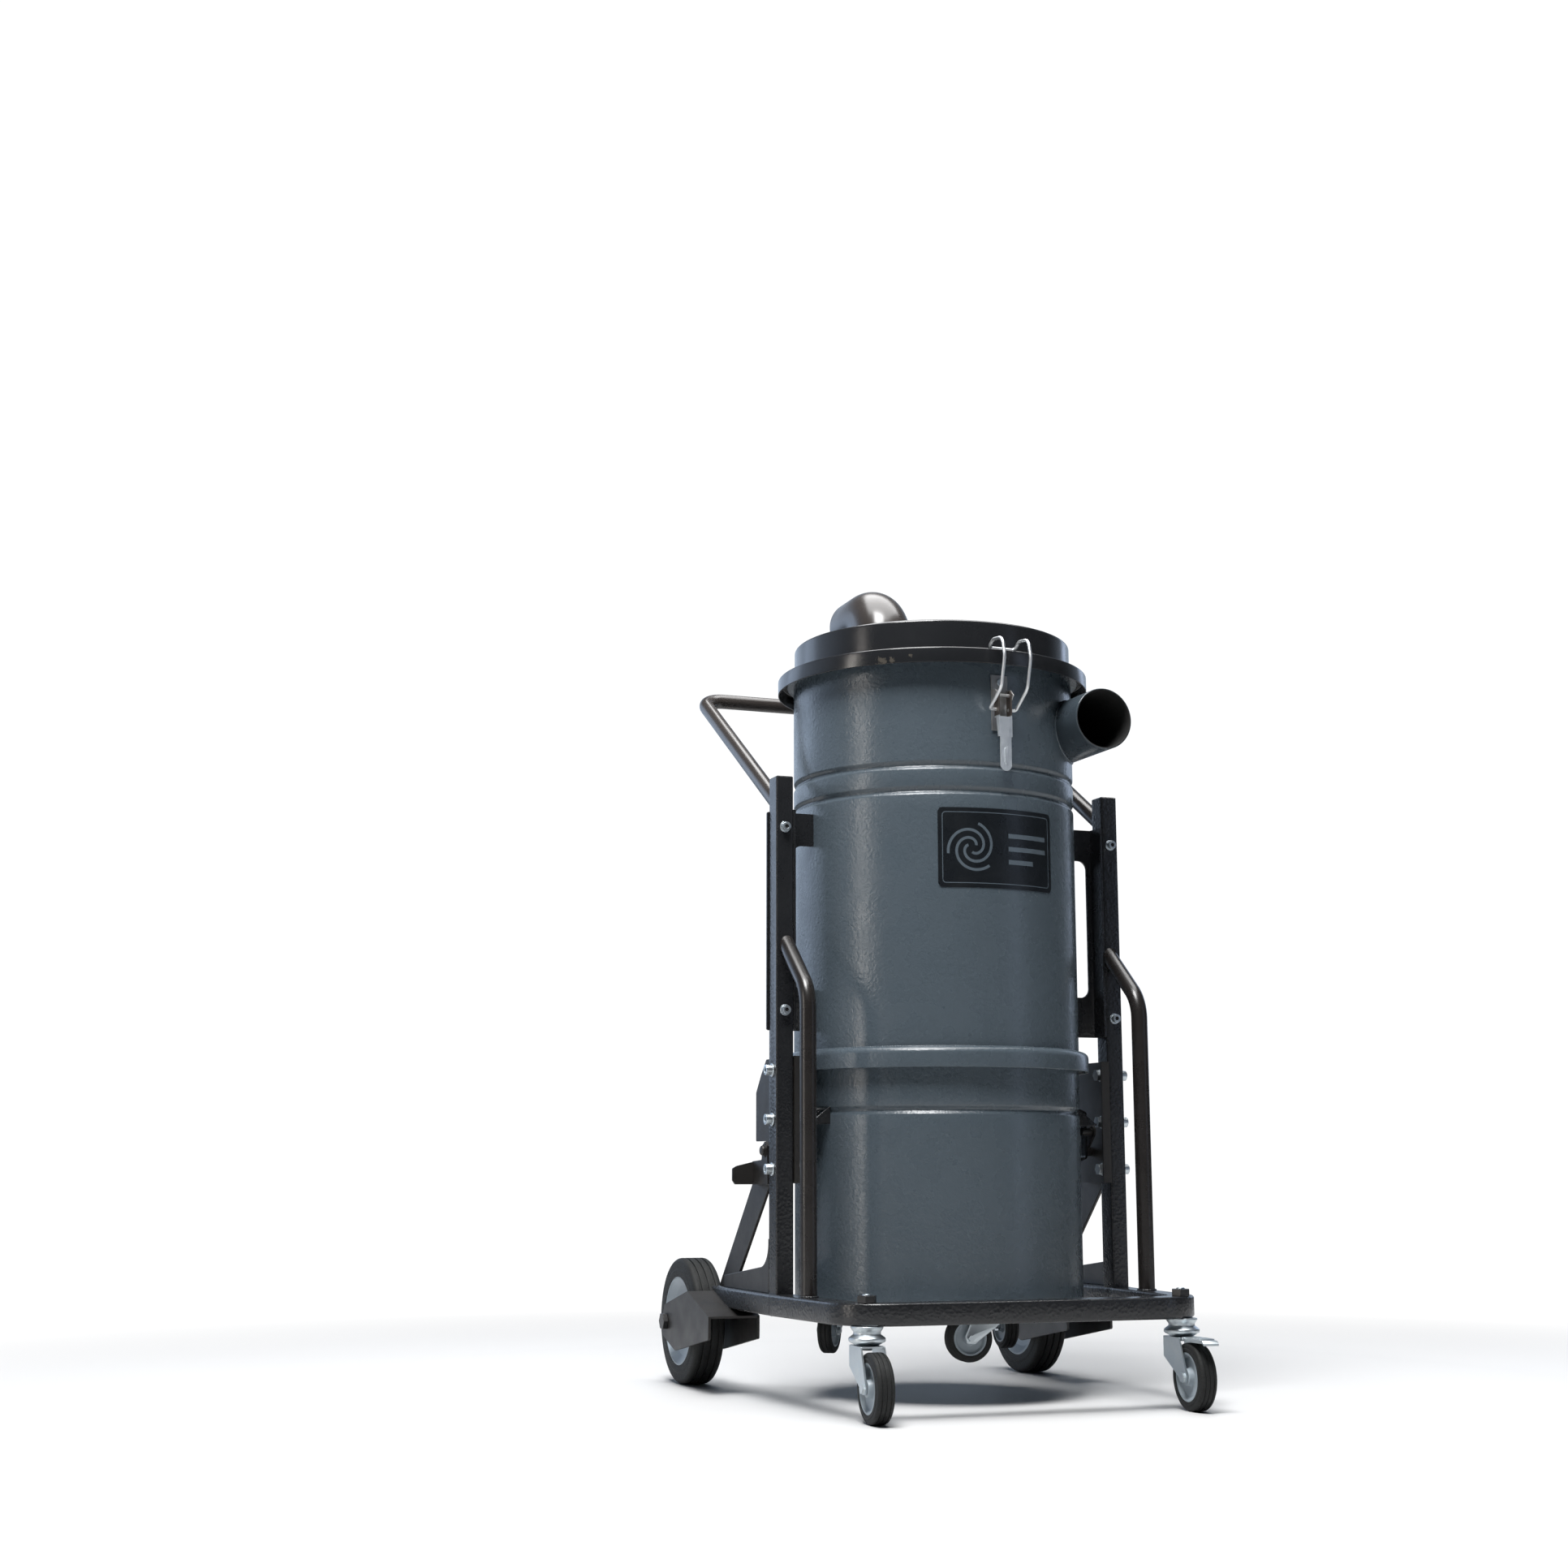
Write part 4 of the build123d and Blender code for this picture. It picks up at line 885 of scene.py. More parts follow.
    def build_plate(self) -> None:
        """A curved plate with a thin border, a whirl of three arms and three bars as its only marks."""
        half_w, half_h = self.plate_width / 2, (self.plate_high - self.plate_low) / 2
        corner, rows, cols = self.plate_corner, 9, 65
        middle = (self.plate_low + self.plate_high) / 2
        x = np.linspace(-1, 1, cols) * half_w
        edge = np.clip(np.abs(x) - (half_w - corner), 0, corner)
        reach = half_h - corner + np.sqrt(corner ** 2 - edge ** 2)
        t = np.linspace(-1, 1, rows)
        across = np.broadcast_to(x, (rows, cols))
        height = middle + t[:, None] * reach[None, :]
        face = self.on_drum(across, height, self.plate_thick)
        back = self.on_drum(across, height, 0.02)
        points = np.concatenate([face, back[::-1]])
        grid_object("blank_plate", points, Finish.FILM, "trolley", ["blank_name_plate"],
                    close_u=True, close_v=False, inward=True)
        self.build_border(half_w - self.border_inset, half_h - self.border_inset, middle)
        self.build_spiral(middle)

    def strip(self, name: str, line: np.ndarray, width: float) -> None:
        """Lay a printed strip on the plate's curve.

        Args:
            name: the piece's name.
            line: its middle line, flat, as distances across and heights.
            width: its width.
        """
        ahead = np.gradient(line, axis=0)
        side = np.stack([-ahead[:, 1], ahead[:, 0]], axis=1)
        side /= np.linalg.norm(side, axis=1, keepdims=True)
        edges = [line + side * w for w in (-width / 2, width / 2)]
        low, high = self.plate_thick, self.plate_thick + self.print_thick
        rows = [self.on_drum(e[:, 0], e[:, 1], h) for e, h in
                ((edges[0], low), (edges[0], high), (edges[1], high), (edges[1], low))]
        grid_object(name, np.stack(rows), Finish.PRINT, "trolley", close_u=True, close_v=False)

    def build_border(self, half_w: float, half_h: float, middle: float) -> None:
        """Print a thin rounded frame line, with a point every 2.5 mm so that it follows the curve.

        Args:
            half_w: half its width.
            half_h: half its height.
            middle: the height of its middle.
        """
        low, high = middle - half_h, middle + half_h
        line = rounded([(-half_w, low), (half_w, low), (half_w, high), (-half_w, high)], 5.0, steps=8)
        sides = [(a, b, np.linalg.norm(a - b)) for a, b in zip(line, np.roll(line, -1, axis=0))]
        fine = np.concatenate([np.linspace(a, b, 1 + int(length / 2.5), endpoint=False)
                               for a, b, length in sides if length > 1e-6])
        self.strip("plate_border", np.concatenate([fine, fine[:2]]), 1.2)

    def build_spiral(self, middle: float) -> None:
        """Print a whirl of three arms, radius growing evenly with angle, and bars beside it.

        Args:
            middle: the height of the plate's middle.
        """
        turn = np.linspace(0.5, 1.75 * math.pi, 60)
        r = self.whirl_start + self.whirl_growth * turn
        for arm in range(3):
            lead = turn + arm * 2 * math.pi / 3
            line = np.stack([self.whirl_x + r * np.cos(lead), middle + r * np.sin(lead)], axis=1)
            self.strip(f"plate_whirl_{arm}", line, 4.2)
        for bar, (length, up) in enumerate(self.bars):
            x = np.linspace(self.bar_x, self.bar_x + length, 24)
            self.strip(f"plate_bar_{bar}", np.stack([x, np.full(24, middle + up)], axis=1), 7.0)


# ---- Lid and elbow -----------------------------------------------------------------------
@dataclass
class Lid:
    """The stepped lid and the outlet elbow that stands on it."""

    radius: float = 223.5
    top: float = 1177.0
    skirt_radius: float = 250.5
    skirt_low: float = 1103.0
    ledge: float = 1127.0
    sheet: float = 2.0
    elbow_at: tuple[float, float] = (-72.3, 31.0)
    elbow_heading: float = 89.0
    elbow_axis: float = 1244.4
    elbow_bend: float = 61.5
    elbow_leg: float = 60.0
    pipe_radius: float = 48.0
    pipe_wall: float = 3.0

    def build(self) -> None:
        """Build the lid and its elbow."""
        self.build_shell()
        self.build_elbow()

    def build_shell(self) -> None:
        """Turn the stepped section, its folds rounded as pressing leaves them."""
        r, s, t = self.radius, self.skirt_radius, self.sheet
        corners = [(0, self.top), (r, self.top), (r, self.ledge), (s, self.ledge), (s, self.skirt_low),
                   (s - t, self.skirt_low), (s - t, self.ledge - t), (r - t, self.ledge - t),
                   (r - t, self.top - t), (0, self.top - t)]
        section = rounded(corners, (0, 4.5, 2.0, 2.6, 0.9, 0.9, 1.5, 1.5, 2.5, 0), closed=False)
        lid = grid_object("lid_shell", turned(section, 256), Finish.LID, "trolley", ["lid"], close_u=False)
        x, y = self.elbow_at
        cut_round(lid, (x, y, self.top - 12), (x, y, self.top + 12), self.pipe_radius - self.pipe_wall)

    def build_elbow(self) -> None:
        """A thick-walled tube up from the lid, round a tight bend and back, with a rolled lip."""
        out = radial(self.elbow_heading)
        base = np.array([*self.elbow_at, 0.0])
        foot = base + [0, 0, self.top - 12]
        corner = base + [0, 0, self.elbow_axis]
        mouth = corner + out * (self.elbow_bend + self.elbow_leg)
        line = rounded([foot, corner, mouth], self.elbow_bend, steps=28, closed=False)
        outer, inner, half = self.pipe_radius, self.pipe_radius - self.pipe_wall, self.pipe_wall / 2
        line[-1] -= out * half
        turn = np.linspace(0, math.pi, 7)[1:-1]
        lip = line[-1] + out * (half * np.sin(turn))[:, None]
        path = np.concatenate([line, lip, line[::-1]])
        radius = np.concatenate([np.full(len(line), outer), (outer + inner) / 2 + half * np.cos(turn),
                                 np.full(len(line), inner)])
        first, second = (np.concatenate([way, np.repeat(way[-1:], len(turn), 0), way[::-1]])
                         for way in path_frames(line, tangent(self.elbow_heading)))
        points = ringed(path, (first, second), circle(1.0, 96), radius)
        grid_object("outlet_pipe", points, Finish.SATIN, "trolley", ["outlet_elbow"],
                    close_u=True, inward=True)
        round_bead("elbow_weld", (outer + 0.3, self.top + 0.4), 120, base, 1.8, Finish.SATIN)


# ---- Latches -----------------------------------------------------------------------------
@dataclass
class SpringLatch:
    """An over-centre latch whose bowed spring wire hooks on the lid's ledge."""

    name: str
    angle: float
    pin: tuple[float, float] = (236.0, 1035.0)
    half_width: float = 22.5
    wire: float = 2.5
    ledge: float = 1127.0
    rest: float = 0.8
    pin_half: float = 9.7
    bow: tuple[tuple[float, float], ...] = ((38, 1062), (50, 1108), (43, 1138), (14, 1141))
    bends: tuple[float, ...] = (4, 22, 24, 15, 12, 6)

    def build(self) -> None:
        """Dress the base and handle, and bend the wire."""
        dressed_copy(f"{self.name}_latch_base", Finish.CLASP, "trolley", 0.4)
        dressed_copy(f"{self.name}_latch_handle", Finish.STAMPED, f"{self.name}_handle", 0.4)
        r, z = self.pin
        bar = (r + 1, self.ledge + self.wire + self.rest)
        leg = np.array([(r, z), *((r + away, up) for away, up in self.bow), bar], float)
        out, round_ = radial(self.angle), tangent(self.angle)
        side = np.concatenate([leg, leg[::-1]])
        shift = np.repeat([-self.half_width, self.half_width], len(leg))
        corners = out * side[:, 0:1] + round_ * shift[:, None] + UP * side[:, 1:2]
        ends = [out * r + round_ * s + UP * z for s in (-self.pin_half, self.pin_half)]
        corners = np.concatenate([ends[0][None], corners, ends[1][None]])
        radii = (0, *self.bends, *self.bends[::-1], 0)
        path = rounded(corners, radii, steps=12, closed=False)
        points = capped(carried(path, circle(self.wire, 20), out * 0.3 + UP))
        grid_object(f"{self.name}_bail_wire", points, Finish.WIRE, f"{self.name}_bail",
                    [f"{self.name}_latch_bail"])


# ---- Bin ---------------------------------------------------------------------------------
@dataclass
class CollectionBin:
    """The drop-down bin: grooved wall, floor and turned-out rim."""

    vessel: SheetVessel = field(default_factory=lambda: SheetVessel(224.0, 144.0, 500.0, (430.0,)))

    def build(self) -> None:
        """Turn the shell and dress what is fixed to it."""
        grid_object("bin_shell", turned(self.vessel.wall(True), self.vessel.segments), Finish.SLATE, "bin",
                    ["collection_bin"], close_u=False, inward=True)
        dressed_copy("bin_gasket", Finish.SEAL_AND_SOCKET_SHADE, "bin", 0.8)
        dressed_copy("bin_side_handles", Finish.HAMMER, "bin", 0.7)
        dressed_copy("bin_lift_lugs", Finish.HAMMER, "bin", 0.7)


# ---- Trolley frame -----------------------------------------------------------------------
@dataclass
class TrolleyFrame:
    """The bow and rails, guard rods, push handle and everything bolted or welded to them."""

    rail_low: float = 128.7
    rail_high: float = 160.0
    rail_width: float = 40.0
    rail_x: float = 305.0
    front_x: float = 284.3
    front_y: float = -338.0
    seam_y: float = -65.0
    seam_gap: float = 0.8
    corner_radius: float = 85.0
    web_foot: tuple[float, float] = (84.0, 120.0)
    web_slope: float = 33.0 / 106.0
    tube: float = 12.5
    guard_x: float = 278.0
    guard_y: float = -159.0
    guard_bend_z: float = 603.0
    guard_top_z: float = 678.0
    guard_bend: float = 60.0
    upright_front: float = -72.0
    upright_rear: float = -38.0
    handle_x: float = 282.0
    handle_foot_z: float = 905.0
    handle_grip: tuple[float, float] = (345.0, 1146.0)
    handle_bend: float = 40.0
    socket_x: float = 282.0
    socket_y: float = -80.6
    socket_z: tuple[float, float] = (581.0, 862.0)

    def build(self) -> None:
        """Build the whole frame."""
        self.build_bow()
        for side in Side:
            self.build_rail(side)
            self.build_guard(side)
            self.build_socket_shade_discs(side)
        self.build_handle()
        self.dress_plates()

    def tube_section(self, inset: float = 0.0, corner: float = 4.0, steps: int = 6) -> np.ndarray:
        """The rail's rectangular section with rounded corners, across and up.

        Args:
            inset: how far inside the rail's faces it runs.
            corner: radius of its corners.
            steps: points on each corner.
        Returns:
            The closed section.
        """
        w, h = self.rail_width / 2 - inset, (self.rail_high - self.rail_low) / 2 - inset
        return rounded([(-w, -h), (w, -h), (w, h), (-w, h)], corner, steps)

    def build_bow(self) -> None:
        """The bent front of the base, its middle line half a rail inside the outline."""
        lean = math.atan2(self.rail_x - self.front_x, self.seam_y - self.front_y)
        half, z = self.rail_width / 2, (self.rail_low + self.rail_high) / 2
        front = self.front_y + half
        start_x = self.rail_x - half / math.cos(lean)
        corner_x = start_x - (self.seam_y - front) * math.tan(lean)
        seam = self.seam_y - self.seam_gap
        corners = [(-start_x, seam, z), (-corner_x, front, z), (corner_x, front, z), (start_x, seam, z)]
        path = rounded(corners, self.corner_radius - half, steps=20, closed=False)
        points = carried(path, self.tube_section(), (1, 0, 0))
        points[[0, -1], :, 1] = seam
        grid_object("base_bow", capped(points), Finish.HAMMER, "trolley", ["base_frame"])

    def build_rail(self, side: Side) -> None:
        """A straight rear rail: its end is sheared along the wheel bracket's sloping web.

        Args:
            side: which side of the machine.
        """
        x = side.value * (self.rail_x - self.rail_width / 2)
        z = (self.rail_low + self.rail_high) / 2
        path = np.array([(x, self.seam_y + self.seam_gap, z), (x, 0, z), (x, 60, z), (x, 160, z)])
        points = carried(path, self.tube_section(), (1, 0, 0))
        points[-1, :, 1] = self.web_foot[0] + (points[-1, :, 2] - self.web_foot[1]) / self.web_slope
        name = side.name.lower()
        grid_object(f"{name}_rear_rail", capped(points), Finish.HAMMER, "trolley")
        loop = self.tube_section(inset=1.2, corner=3.0, steps=5)
        loop = np.concatenate([loop, loop[:1]])
        path = np.stack([x + loop[:, 0], np.full(len(loop), self.seam_y), z + loop[:, 1]], axis=1)
        bead(f"{name}_rail_weld", path, 1.5, (0, 1, 0), Finish.HAMMER)

    def build_guard(self, side: Side) -> None:
        """A guard rod: up from the rail, one bend, and back to the upright's front face.

        Args:
            side: which side of the machine.
        """
        x, name = side.value * self.guard_x, side.name.lower()
        corners = [(x, self.guard_y, self.rail_high), (x, self.guard_y, self.guard_bend_z),
                   (x, self.upright_front, self.guard_top_z)]
        path = rounded(corners, self.guard_bend, steps=16, closed=False)
        points = carried(path, circle(self.tube, 40), (1, 0, 0))
        ahead = path[-1] - path[-2]
        ahead /= np.linalg.norm(ahead)
        gap = self.upright_front - points[-1, :, 1]
        points[-1] += (gap / ahead[1])[:, None] * ahead
        grid_object(f"{name}_guard_tube", capped(points), Finish.TUBE, "trolley", [f"{name}_guard_rod"])
        round_bead(f"{name}_guard_weld", (self.tube + 0.6, self.rail_high + 0.6), 60,
                   (x, self.guard_y, 0), 1.8, Finish.HAMMER)

    def build_socket_shade_discs(self, side: Side) -> None:
        """Dark discs set in the hex sockets of the upright's two front screws: painted shade.

        Args:
            side: which side of the machine.
        """
        for count, z in enumerate(self.socket_z):
            path = np.array([(side.value * self.socket_x, self.socket_y + 2.0, z),
                             (side.value * self.socket_x, self.socket_y, z)])
            # Each disc sits 2 mm deep in its socket and is painted shade.
            points = capped(carried(path, circle(3.4, 6), (1, 0, 0)))
            grid_object(f"{side.name.lower()}_socket_{count}", points, Finish.SEAL_AND_SOCKET_SHADE, "trolley")

    def build_handle(self) -> None:
        """The push handle: two sloping legs and a cross bar in one tilted plane, corners bent."""
        x, rear = self.handle_x, self.upright_rear
        low, high = np.array([rear, self.handle_foot_z]), np.array(self.handle_grip)
        corners = np.array([(-x, *low), (-x, *high), (x, *high), (x, *low)])
        path = rounded(corners, self.handle_bend, steps=16, closed=False)
        points = carried(path, circle(self.tube, 40), (1, 0, 0))
        lead = high - low
        for end in (0, -1):
            gap = rear - points[end, :, 1]
            points[end, :, 1] = rear
            points[end, :, 2] += gap * lead[1] / lead[0]
        grid_object("push_handle_tube", capped(points), Finish.SATIN, "trolley", ["push_handle"])

    def dress_plates(self) -> None:
        """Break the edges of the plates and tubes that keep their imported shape."""
        for name in ("left", "right"):
            dressed_copy(f"{name}_upright", Finish.HAMMER, "trolley", 0.5)
            dressed_copy(f"{name}_drum_bracket", Finish.HAMMER, "trolley", 0.8)
            dressed_copy(f"{name}_side_plate", Finish.PLATE, "trolley", 0.8)
            dressed_copy(f"{name}_wheel_bracket", Finish.PLATE, "trolley", 0.9)
            dressed_copy(f"{name}_lift_lever", Finish.PLATE, f"{name}_lever", 0.7)
        for node in ("gussets", "braces"):
            dressed_copy(node, Finish.PLATE, "trolley", 0.9)
        for node in ("side_plate_bolts", "side_plate_nuts", "drum_bracket_bolts", "latch_screws"):
            dressed_copy(node, Finish.ZINC, "trolley", 0.5)
        for node in ("front_caster_nuts", "rear_axles"):
            dressed_copy(node, Finish.OXIDE, "trolley", 0.8)


# ---- Wheels and casters ------------------------------------------------------------------
@dataclass
class Wheel:
    """A rubber-tyred wheel: tread ribs between grooves, a dished rim and a hub."""

    name: str
    body: str
    centre: np.ndarray
    axle: np.ndarray
    radius: float
    width: float
    rim_radius: float
    hub_radius: float
    bore: float
    hub_width: float
    grooves: tuple[float, ...]
    rim_finish: Finish
    nodes: tuple[tuple[str, ...], tuple[str, ...]]
    groove_depth: float = 1.8
    groove_half: float = 0.9

    def build(self) -> None:
        """Turn the tyre and the rim."""
        self.build_tyre()
        self.build_rim()

    def build_tyre(self) -> None:
        """The tyre's section: straight walls with a moulded step, round shoulders, square grooves."""
        r, half, inner = self.radius, self.width / 2, self.rim_radius
        shoulder = 0.055 * r + 2
        flank, step, edge = inner + 0.35 * (r - inner), inner + 0.45 * (r - inner), half - 0.8
        corners = [(inner, -half), (flank, -half), (step, -edge), (r, -edge)]
        radii = [0.6, 0.6, 0.4, shoulder]
        for x in self.grooves:
            for dx, dr in ((-self.groove_half, 0), (-self.groove_half, -self.groove_depth),
                           (self.groove_half, -self.groove_depth), (self.groove_half, 0)):
                corners.append((r + dr, x + dx))
                radii.append(0.35)
        corners += [(r, edge), (step, edge), (flank, half), (inner, half)]
        radii += [shoulder, 0.4, 0.6, 0.6]
        section = rounded(corners, radii, steps=5)
        grid_object(f"{self.name}_tyre_ring", turned(section, 128, self.centre, self.axle), Finish.TYRE,
                    self.body, self.nodes[0], close_u=True)

    def build_rim(self) -> None:
        """The rim's section: a lip, a cone down to the hub on both faces, and the axle's bore."""
        r, half, hub = self.rim_radius, self.width / 2 - 0.6, self.hub_width / 2
        web = max(2.0, 0.10 * self.width)
        one = [(self.bore, -hub), (self.hub_radius, -hub), (self.hub_radius + 1.5, -web - 3),
               (0.80 * r, -0.52 * half - 1), (r - 3.0, -half + 1), (r - 3.0, -half), (r, -half)]
        other = [(radius, -x) for radius, x in reversed(one)]
        radii = [0.5, 1.0, 2.0, 2.5, 1.0, 0.8, 0]
        section = rounded(one + other, radii + radii[::-1], steps=5)
        grid_object(f"{self.name}_rim_disc", turned(section, 96, self.centre, self.axle), self.rim_finish,
                    self.body, self.nodes[1], close_u=True)


@dataclass
class Caster:
    """A swivel caster: bearing cup, king pin, fork and wheel, trailing in one direction."""

    name: str
    stem: tuple[float, float]
    heading: float
    axle_height: float
    wheel_radius: float
    wheel_width: float
    trail: float
    swivel_body: str
    wheel_body: str
    fork_node: str
    wheel_node: str

    def build(self) -> None:
        """Dress the fork and build the wheel."""
        dressed_copy(self.fork_node, Finish.ZINC, self.swivel_body, 0.5)
        centre = np.array([*self.stem, self.axle_height]) + radial(self.heading) * self.trail
        r, w = self.wheel_radius, self.wheel_width
        Wheel(self.name, self.wheel_body, centre, tangent(self.heading), r, w, 0.72 * r, 0.24 * r,
              0.085 * r + 0.05, w + 2, (-w / 6, w / 6) if r < 40 else (-0.24 * w, 0.0, 0.24 * w),
              Finish.NYLON, ((self.wheel_node,), ()), 1.2, 0.6).build()


@dataclass
class CasterCup:
    """The pressed bearing cup on top of a caster, with its threaded stem."""

    stem: tuple[float, float]
    fork_top: float
    seat: float
    radius: float
    stem_top: float
    body: str
    name: str
    replaces: tuple[str, ...] = ()

    def build(self) -> None:
        """Turn two pressed cups, a neck between them, a flange and the stem."""
        r, low, high = self.radius, self.fork_top + 0.5, self.seat
        tall = high - low
        corners = [(0, low - 7), (7.4, low - 7), (7.4, low), (0.62 * r, low), (r, low + 0.2 * tall),
                   (r, low + 0.38 * tall), (0.74 * r, low + 0.58 * tall), (0.74 * r, low + 0.7 * tall),
                   (0.88 * r, high - 2.2), (0.88 * r, high), (6, high), (6, self.stem_top), (0, self.stem_top)]
        radii = (0, 1, 0, 1.5, 2.5, 2.5, 1.5, 1, 1, 0.8, 0, 1, 0)
        section = rounded(corners, radii, steps=6, closed=False)
        grid_object(self.name, turned(section, 64, (*self.stem, 0)), Finish.ZINC, self.body, self.replaces)


def build_wheels() -> None:
    """Rear wheels, front casters with the brake pedal, and the bin's three casters."""
    for side in Side:
        name, x = side.name.lower(), side.value
        Wheel(f"{name}_rear", f"{name}_rear_wheel", np.array([x * 305.0, 301.0, 100.0]), np.array([1.0, 0, 0]),
              100.0, 50.0, 70.0, 21.0, 8.05, 62.0, (-12.0, 0.0, 12.0), Finish.ENAMEL,
              ((f"{name}_rear_tyre",), (f"{name}_rear_rim",)), 2.4, 1.3).build()
        stem = (x * 249.0, -309.0)
        Caster(f"{name}_front_caster", stem, -94.0, 48.0, 48.0, 27.0, 37.0, f"{name}_front_fork",
               f"{name}_front_wheel", f"{name}_front_caster_fork", f"{name}_front_caster_wheel").build()
        CasterCup(stem, 102.5, 128.7, 26.0, 172.0, "trolley", f"{name}_front_cup",
                  ("front_caster_heads",) if side is Side.LEFT else ()).build()
    dressed_copy("brake_pedal", Finish.ZINC, "pedal", 0.4)
    for name, angle, heading in (("front", -90.0, 172.0), ("right", 30.0, 267.0), ("left", 150.0, 232.0)):
        stem = tuple(radial(angle)[:2] * 165.0)
        Caster(f"{name}_bin_caster", stem, heading, 97.0, 35.0, 22.0, 26.0, f"{name}_bin_fork",
               f"{name}_bin_wheel", f"{name}_bin_caster_fork", f"{name}_bin_caster_wheel").build()
    dressed_copy("bin_caster_heads", Finish.ZINC, "bin", 0.6)


def build_filter() -> None:
    """Dress what the drum hides: the cone, the filter and its plates, and the lid's gasket."""
    for node, finish in (("cyclone_cone", Finish.SHEET), ("filter_tube_sheet", Finish.SHEET),
                         ("filter_end_cap", Finish.SHEET), ("filter_cartridge", Finish.FELT),
                         ("lid_gasket", Finish.SEAL_AND_SOCKET_SHADE)):
        dressed_copy(node, finish, "trolley", 0.5)


# ---- Stage -------------------------------------------------------------------------------
@dataclass(frozen=True)
class SoftBox:
    """An area light: where it stands, what it faces, its size in metres and its power."""

    name: str
    place: tuple[float, float, float]
    target: tuple[float, float, float]
    size: tuple[float, float]
    power: float
    tint: str = "#ffffff"
    sheen_only: bool = False

    def build(self) -> None:
        """Add the light, turned to face its target."""
        data = bpy.data.lights.new(self.name, "AREA")
        data.shape = "RECTANGLE"
        data.size, data.size_y = self.size
        data.energy = self.power
        data.color = srgb(self.tint)[:3]
        light = bpy.data.objects.new(self.name, data)
        light.location = self.place
        light.visible_camera = False
        light.visible_diffuse = not self.sheen_only
        aim = Vector(self.target) - Vector(self.place)
        light.rotation_euler = aim.to_track_quat("-Z", "Y").to_euler()
        bpy.context.scene.collection.objects.link(light)


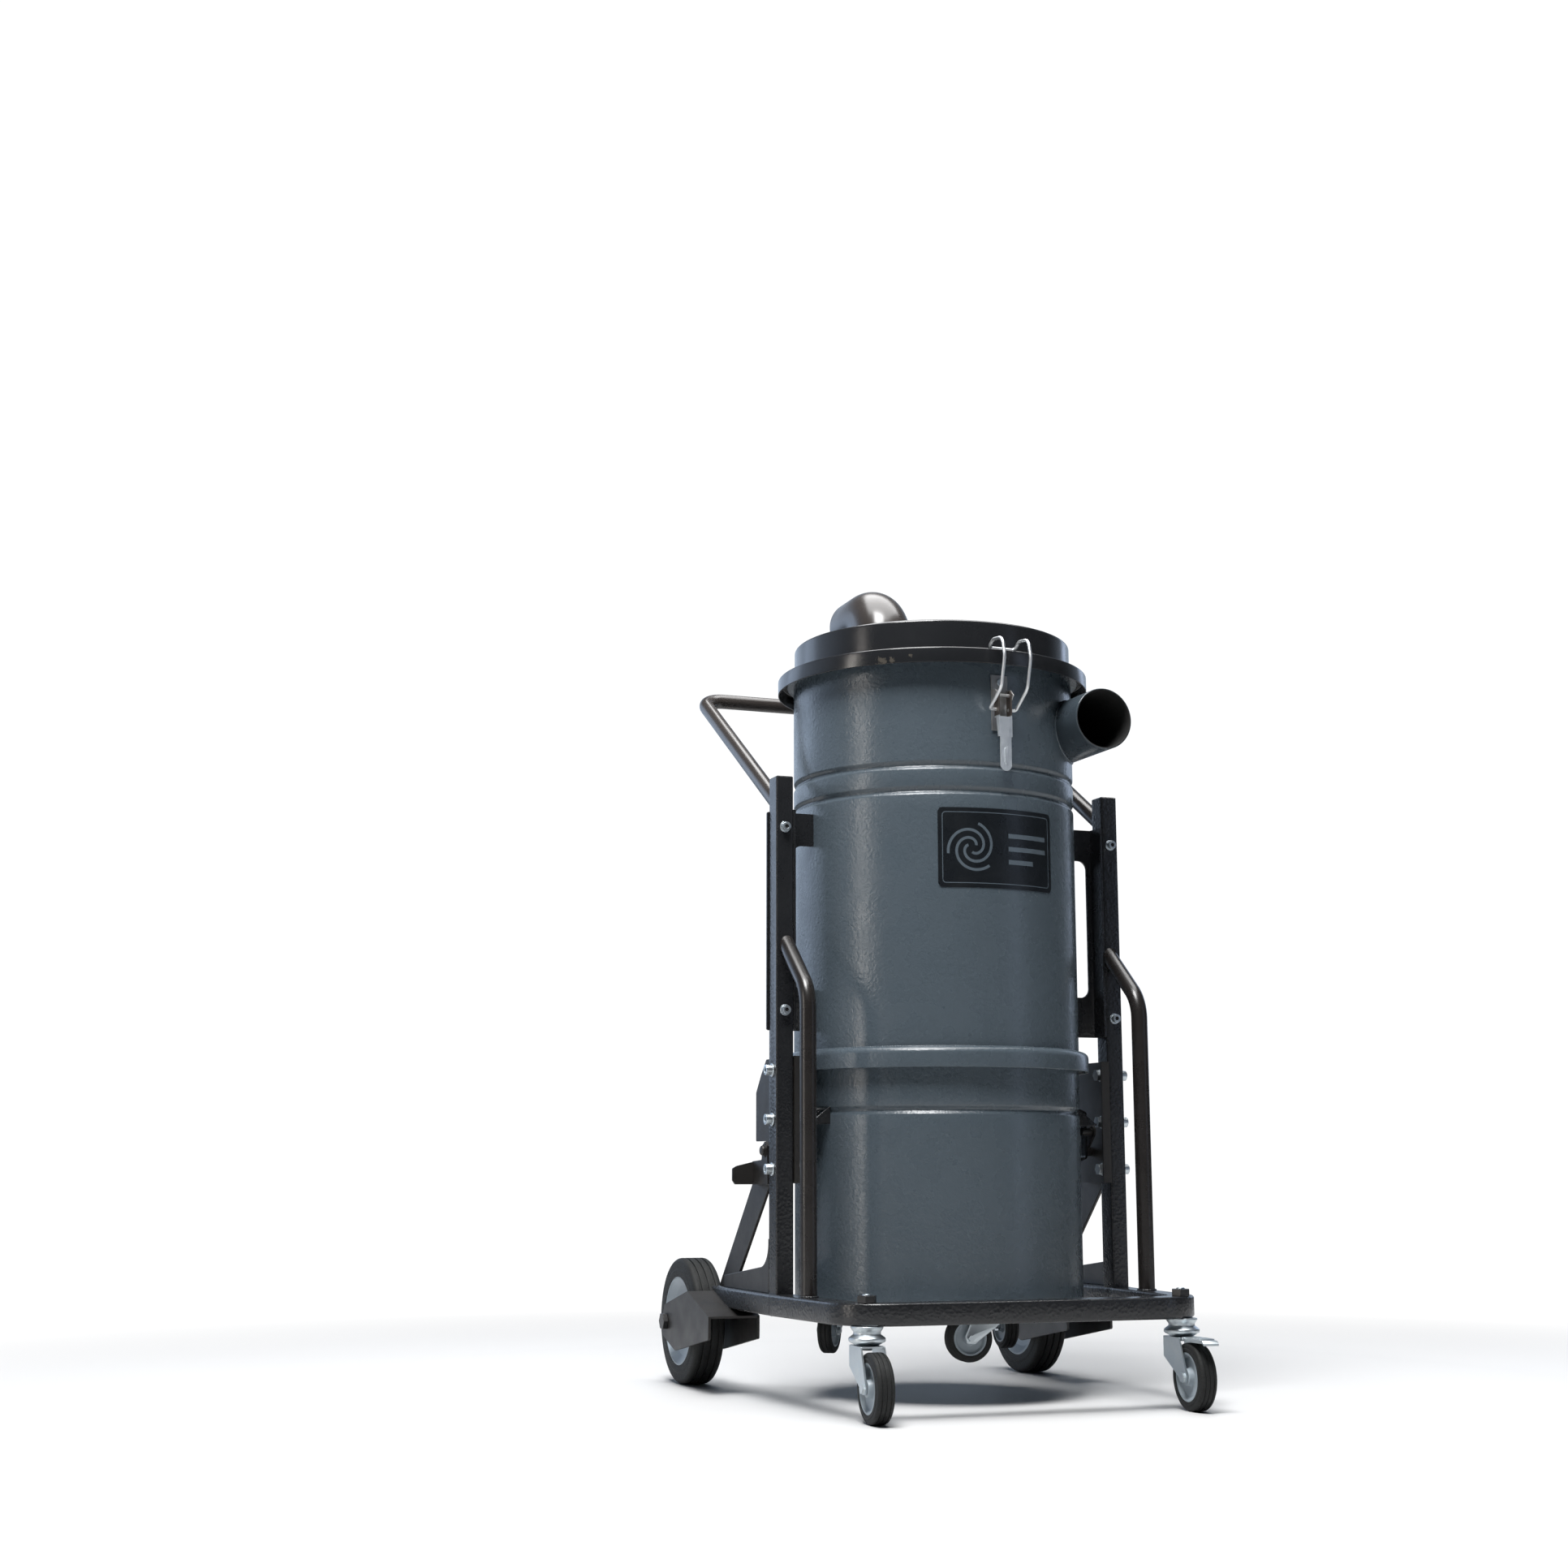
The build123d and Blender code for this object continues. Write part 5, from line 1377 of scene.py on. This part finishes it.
@dataclass(frozen=True)
class Stage:
    """Pale floor, white surround, soft boxes and the camera low on the left of the front."""

    camera_place: tuple[float, float, float] = (-1.4407, -3.1897, 0.3413)
    camera_turn_deg: float = 20.36
    camera_tilt_deg: float = 10.02
    lens_mm: float = 50.2
    dim_front: float = 0.07
    bright_back: float = 1.5
    diffuse_share: float = 0.12
    white_glow: float = 1.05
    wall_span: tuple[float, float] = (0.05, 0.9)
    wall_fade: tuple[float, float] = (0.25, 0.7)
    skirting: float = 0.12
    cool_span: float = 0.6
    floor_reach: float = 40.0
    clear_radius: float = 1.1
    faded_radius: float = 2.3

    def build(self) -> None:
        """Build floor, surround, lights and camera."""
        self.build_floor()
        self.build_world()
        for box in (SoftBox("left_strip", (-3.6, -0.5, 1.1), (0, 0, 0.7), (0.42, 2.6), 26.0, "#fff8f0", True),
                    SoftBox("right_strip", (2.2, -2.4, 1.1), (0, 0, 0.75), (0.5, 2.2), 3.5, "#cfe0ff", True),
                    SoftBox("left_back", (-1.9, 2.7, 1.6), (0, 0, 0.8), (1.0, 2.2), 7.0, "#cfe3ff", True),
                    SoftBox("right_back", (2.77, 1.6, 1.5), (0, 0, 0.8), (0.6, 2.0), 6.0, "#cfe0ff", True),
                    SoftBox("front_top", (-1.15, -1.35, 3.8), (0, 0, 0.5), (1.5, 1.3), 185.0),
                    SoftBox("overhead", (0.1, 0.1, 3.3), (0, 0, 0.0), (2.5, 2.5), 135.0)):
            box.build()
        self.build_camera()

    def build_floor(self) -> None:
        """A wide white floor sheet that glows out into the white surround away from the machine."""
        mesh = bpy.data.meshes.new("floor_sheet")
        far = self.floor_reach
        mesh.from_pydata([(-far, -far, 0), (far, -far, 0), (far, far, 0), (-far, far, 0)], [],
                         [(0, 1, 2, 3)])
        floor = bpy.data.objects.new("floor_sheet", mesh)
        material, tree, shader = surface("white_floor_paper")
        tone = blended(tree, grain(tree, 900.0, 2.0), srgb("#cacaca"), srgb("#d0d0d0"))
        tree.links.new(tone, shader.inputs["Base Color"])
        shader.inputs["Roughness"].default_value = 0.6
        shader.inputs["Specular IOR Level"].default_value = 0.2
        place = add_node(tree, "ShaderNodeTexCoord").outputs["Object"]
        away = add_node(tree, "ShaderNodeVectorMath", {0: place}, operation="LENGTH").outputs["Value"]
        glow = add_node(tree, "ShaderNodeEmission", {"Color": srgb("#ffffff"), "Strength": self.white_glow})
        fade = mapped(tree, away, self.clear_radius, self.faded_radius, 0.0, 1.0)
        seen = add_node(tree, "ShaderNodeLightPath").outputs["Is Camera Ray"]
        fade = add_node(tree, "ShaderNodeMath", {0: fade, 1: seen}, operation="MULTIPLY").outputs["Value"]
        both = add_node(tree, "ShaderNodeMixShader", {0: fade, 1: shader.outputs[0], 2: glow.outputs[0]})
        tree.links.new(both.outputs[0], tree.nodes["Material Output"].inputs["Surface"])
        mesh.materials.append(material)
        bpy.context.scene.collection.objects.link(floor)

    def build_world(self) -> None:
        """A studio surround: a bright wall behind the machine, cool on the left, dim elsewhere.

        Its brightness is the direction's part along Y, carried from dim to bright. It starts above
        the floor line and dies away overhead, so gloss flanks are bright and fronts calm. Rays
        scattered by matt surfaces get a share of it, and the camera sees plain white.
        """
        world = bpy.data.worlds.new("studio_surround")
        bpy.context.scene.world = world
        world.use_nodes = True
        tree = world.node_tree
        tree.nodes.clear()
        way = add_node(tree, "ShaderNodeTexCoord").outputs["Generated"]
        part = add_node(tree, "ShaderNodeSeparateXYZ", {"Vector": way})
        wall = mapped(tree, part.outputs["Y"], *self.wall_span, 0.0, self.bright_back)
        below = mapped(tree, part.outputs["Z"], *self.wall_fade, 1.0, 0.0)
        above = mapped(tree, part.outputs["Z"], 0.0, self.skirting, 0.0, 1.0)
        band = add_node(tree, "ShaderNodeMath", {0: below, 1: above}, operation="MULTIPLY").outputs["Value"]
        lit = add_node(tree, "ShaderNodeMath", {0: wall, 1: band, 2: self.dim_front},
                       operation="MULTIPLY_ADD")
        rays = add_node(tree, "ShaderNodeLightPath")
        share = mapped(tree, rays.outputs["Is Diffuse Ray"], 0.0, 1.0, 1.0, self.diffuse_share)
        behind = add_node(tree, "ShaderNodeMath", {0: lit.outputs["Value"], 1: share},
                          operation="MULTIPLY").outputs["Value"]
        across = mapped(tree, part.outputs["X"], -self.cool_span, self.cool_span, 0.0, 1.0)
        tone = blended(tree, across, srgb("#cfe3ff"), srgb("#aebccc"))
        room = add_node(tree, "ShaderNodeBackground", {"Color": tone, "Strength": behind})
        white = add_node(tree, "ShaderNodeBackground", {"Color": srgb("#ffffff"), "Strength": self.white_glow})
        seen = rays.outputs["Is Camera Ray"]
        both = add_node(tree, "ShaderNodeMixShader", {0: seen, 1: room.outputs[0], 2: white.outputs[0]})
        add_node(tree, "ShaderNodeOutputWorld", {"Surface": both.outputs[0]})

    def build_camera(self) -> None:
        """A camera near the floor that looks up a little, with no shift and everything sharp."""
        data = bpy.data.cameras.new("camera")
        data.lens, data.sensor_width = self.lens_mm, 36.0
        camera = bpy.data.objects.new("camera", data)
        turn, tilt = math.radians(self.camera_turn_deg), math.radians(self.camera_tilt_deg)
        ahead = Vector((math.sin(turn) * math.cos(tilt), math.cos(turn) * math.cos(tilt), math.sin(tilt)))
        camera.location = self.camera_place
        camera.rotation_euler = ahead.to_track_quat("-Z", "Y").to_euler()
        bpy.context.scene.collection.objects.link(camera)
        bpy.context.scene.camera = camera
        bpy.context.scene.view_settings.view_transform = "Standard"


def main() -> None:
    """Build every sub-assembly in order, then the stage."""
    logging.basicConfig(level=logging.INFO, format="%(name)s %(message)s")
    SeparatorDrum().build()
    build_filter()
    Lid().build()
    for name, angle in (("front", -87.0), ("rear", 93.0)):
        SpringLatch(name, angle).build()
    CollectionBin().build()
    TrolleyFrame().build()
    build_wheels()
    Stage().build()


if __name__ == "__main__":
    main()
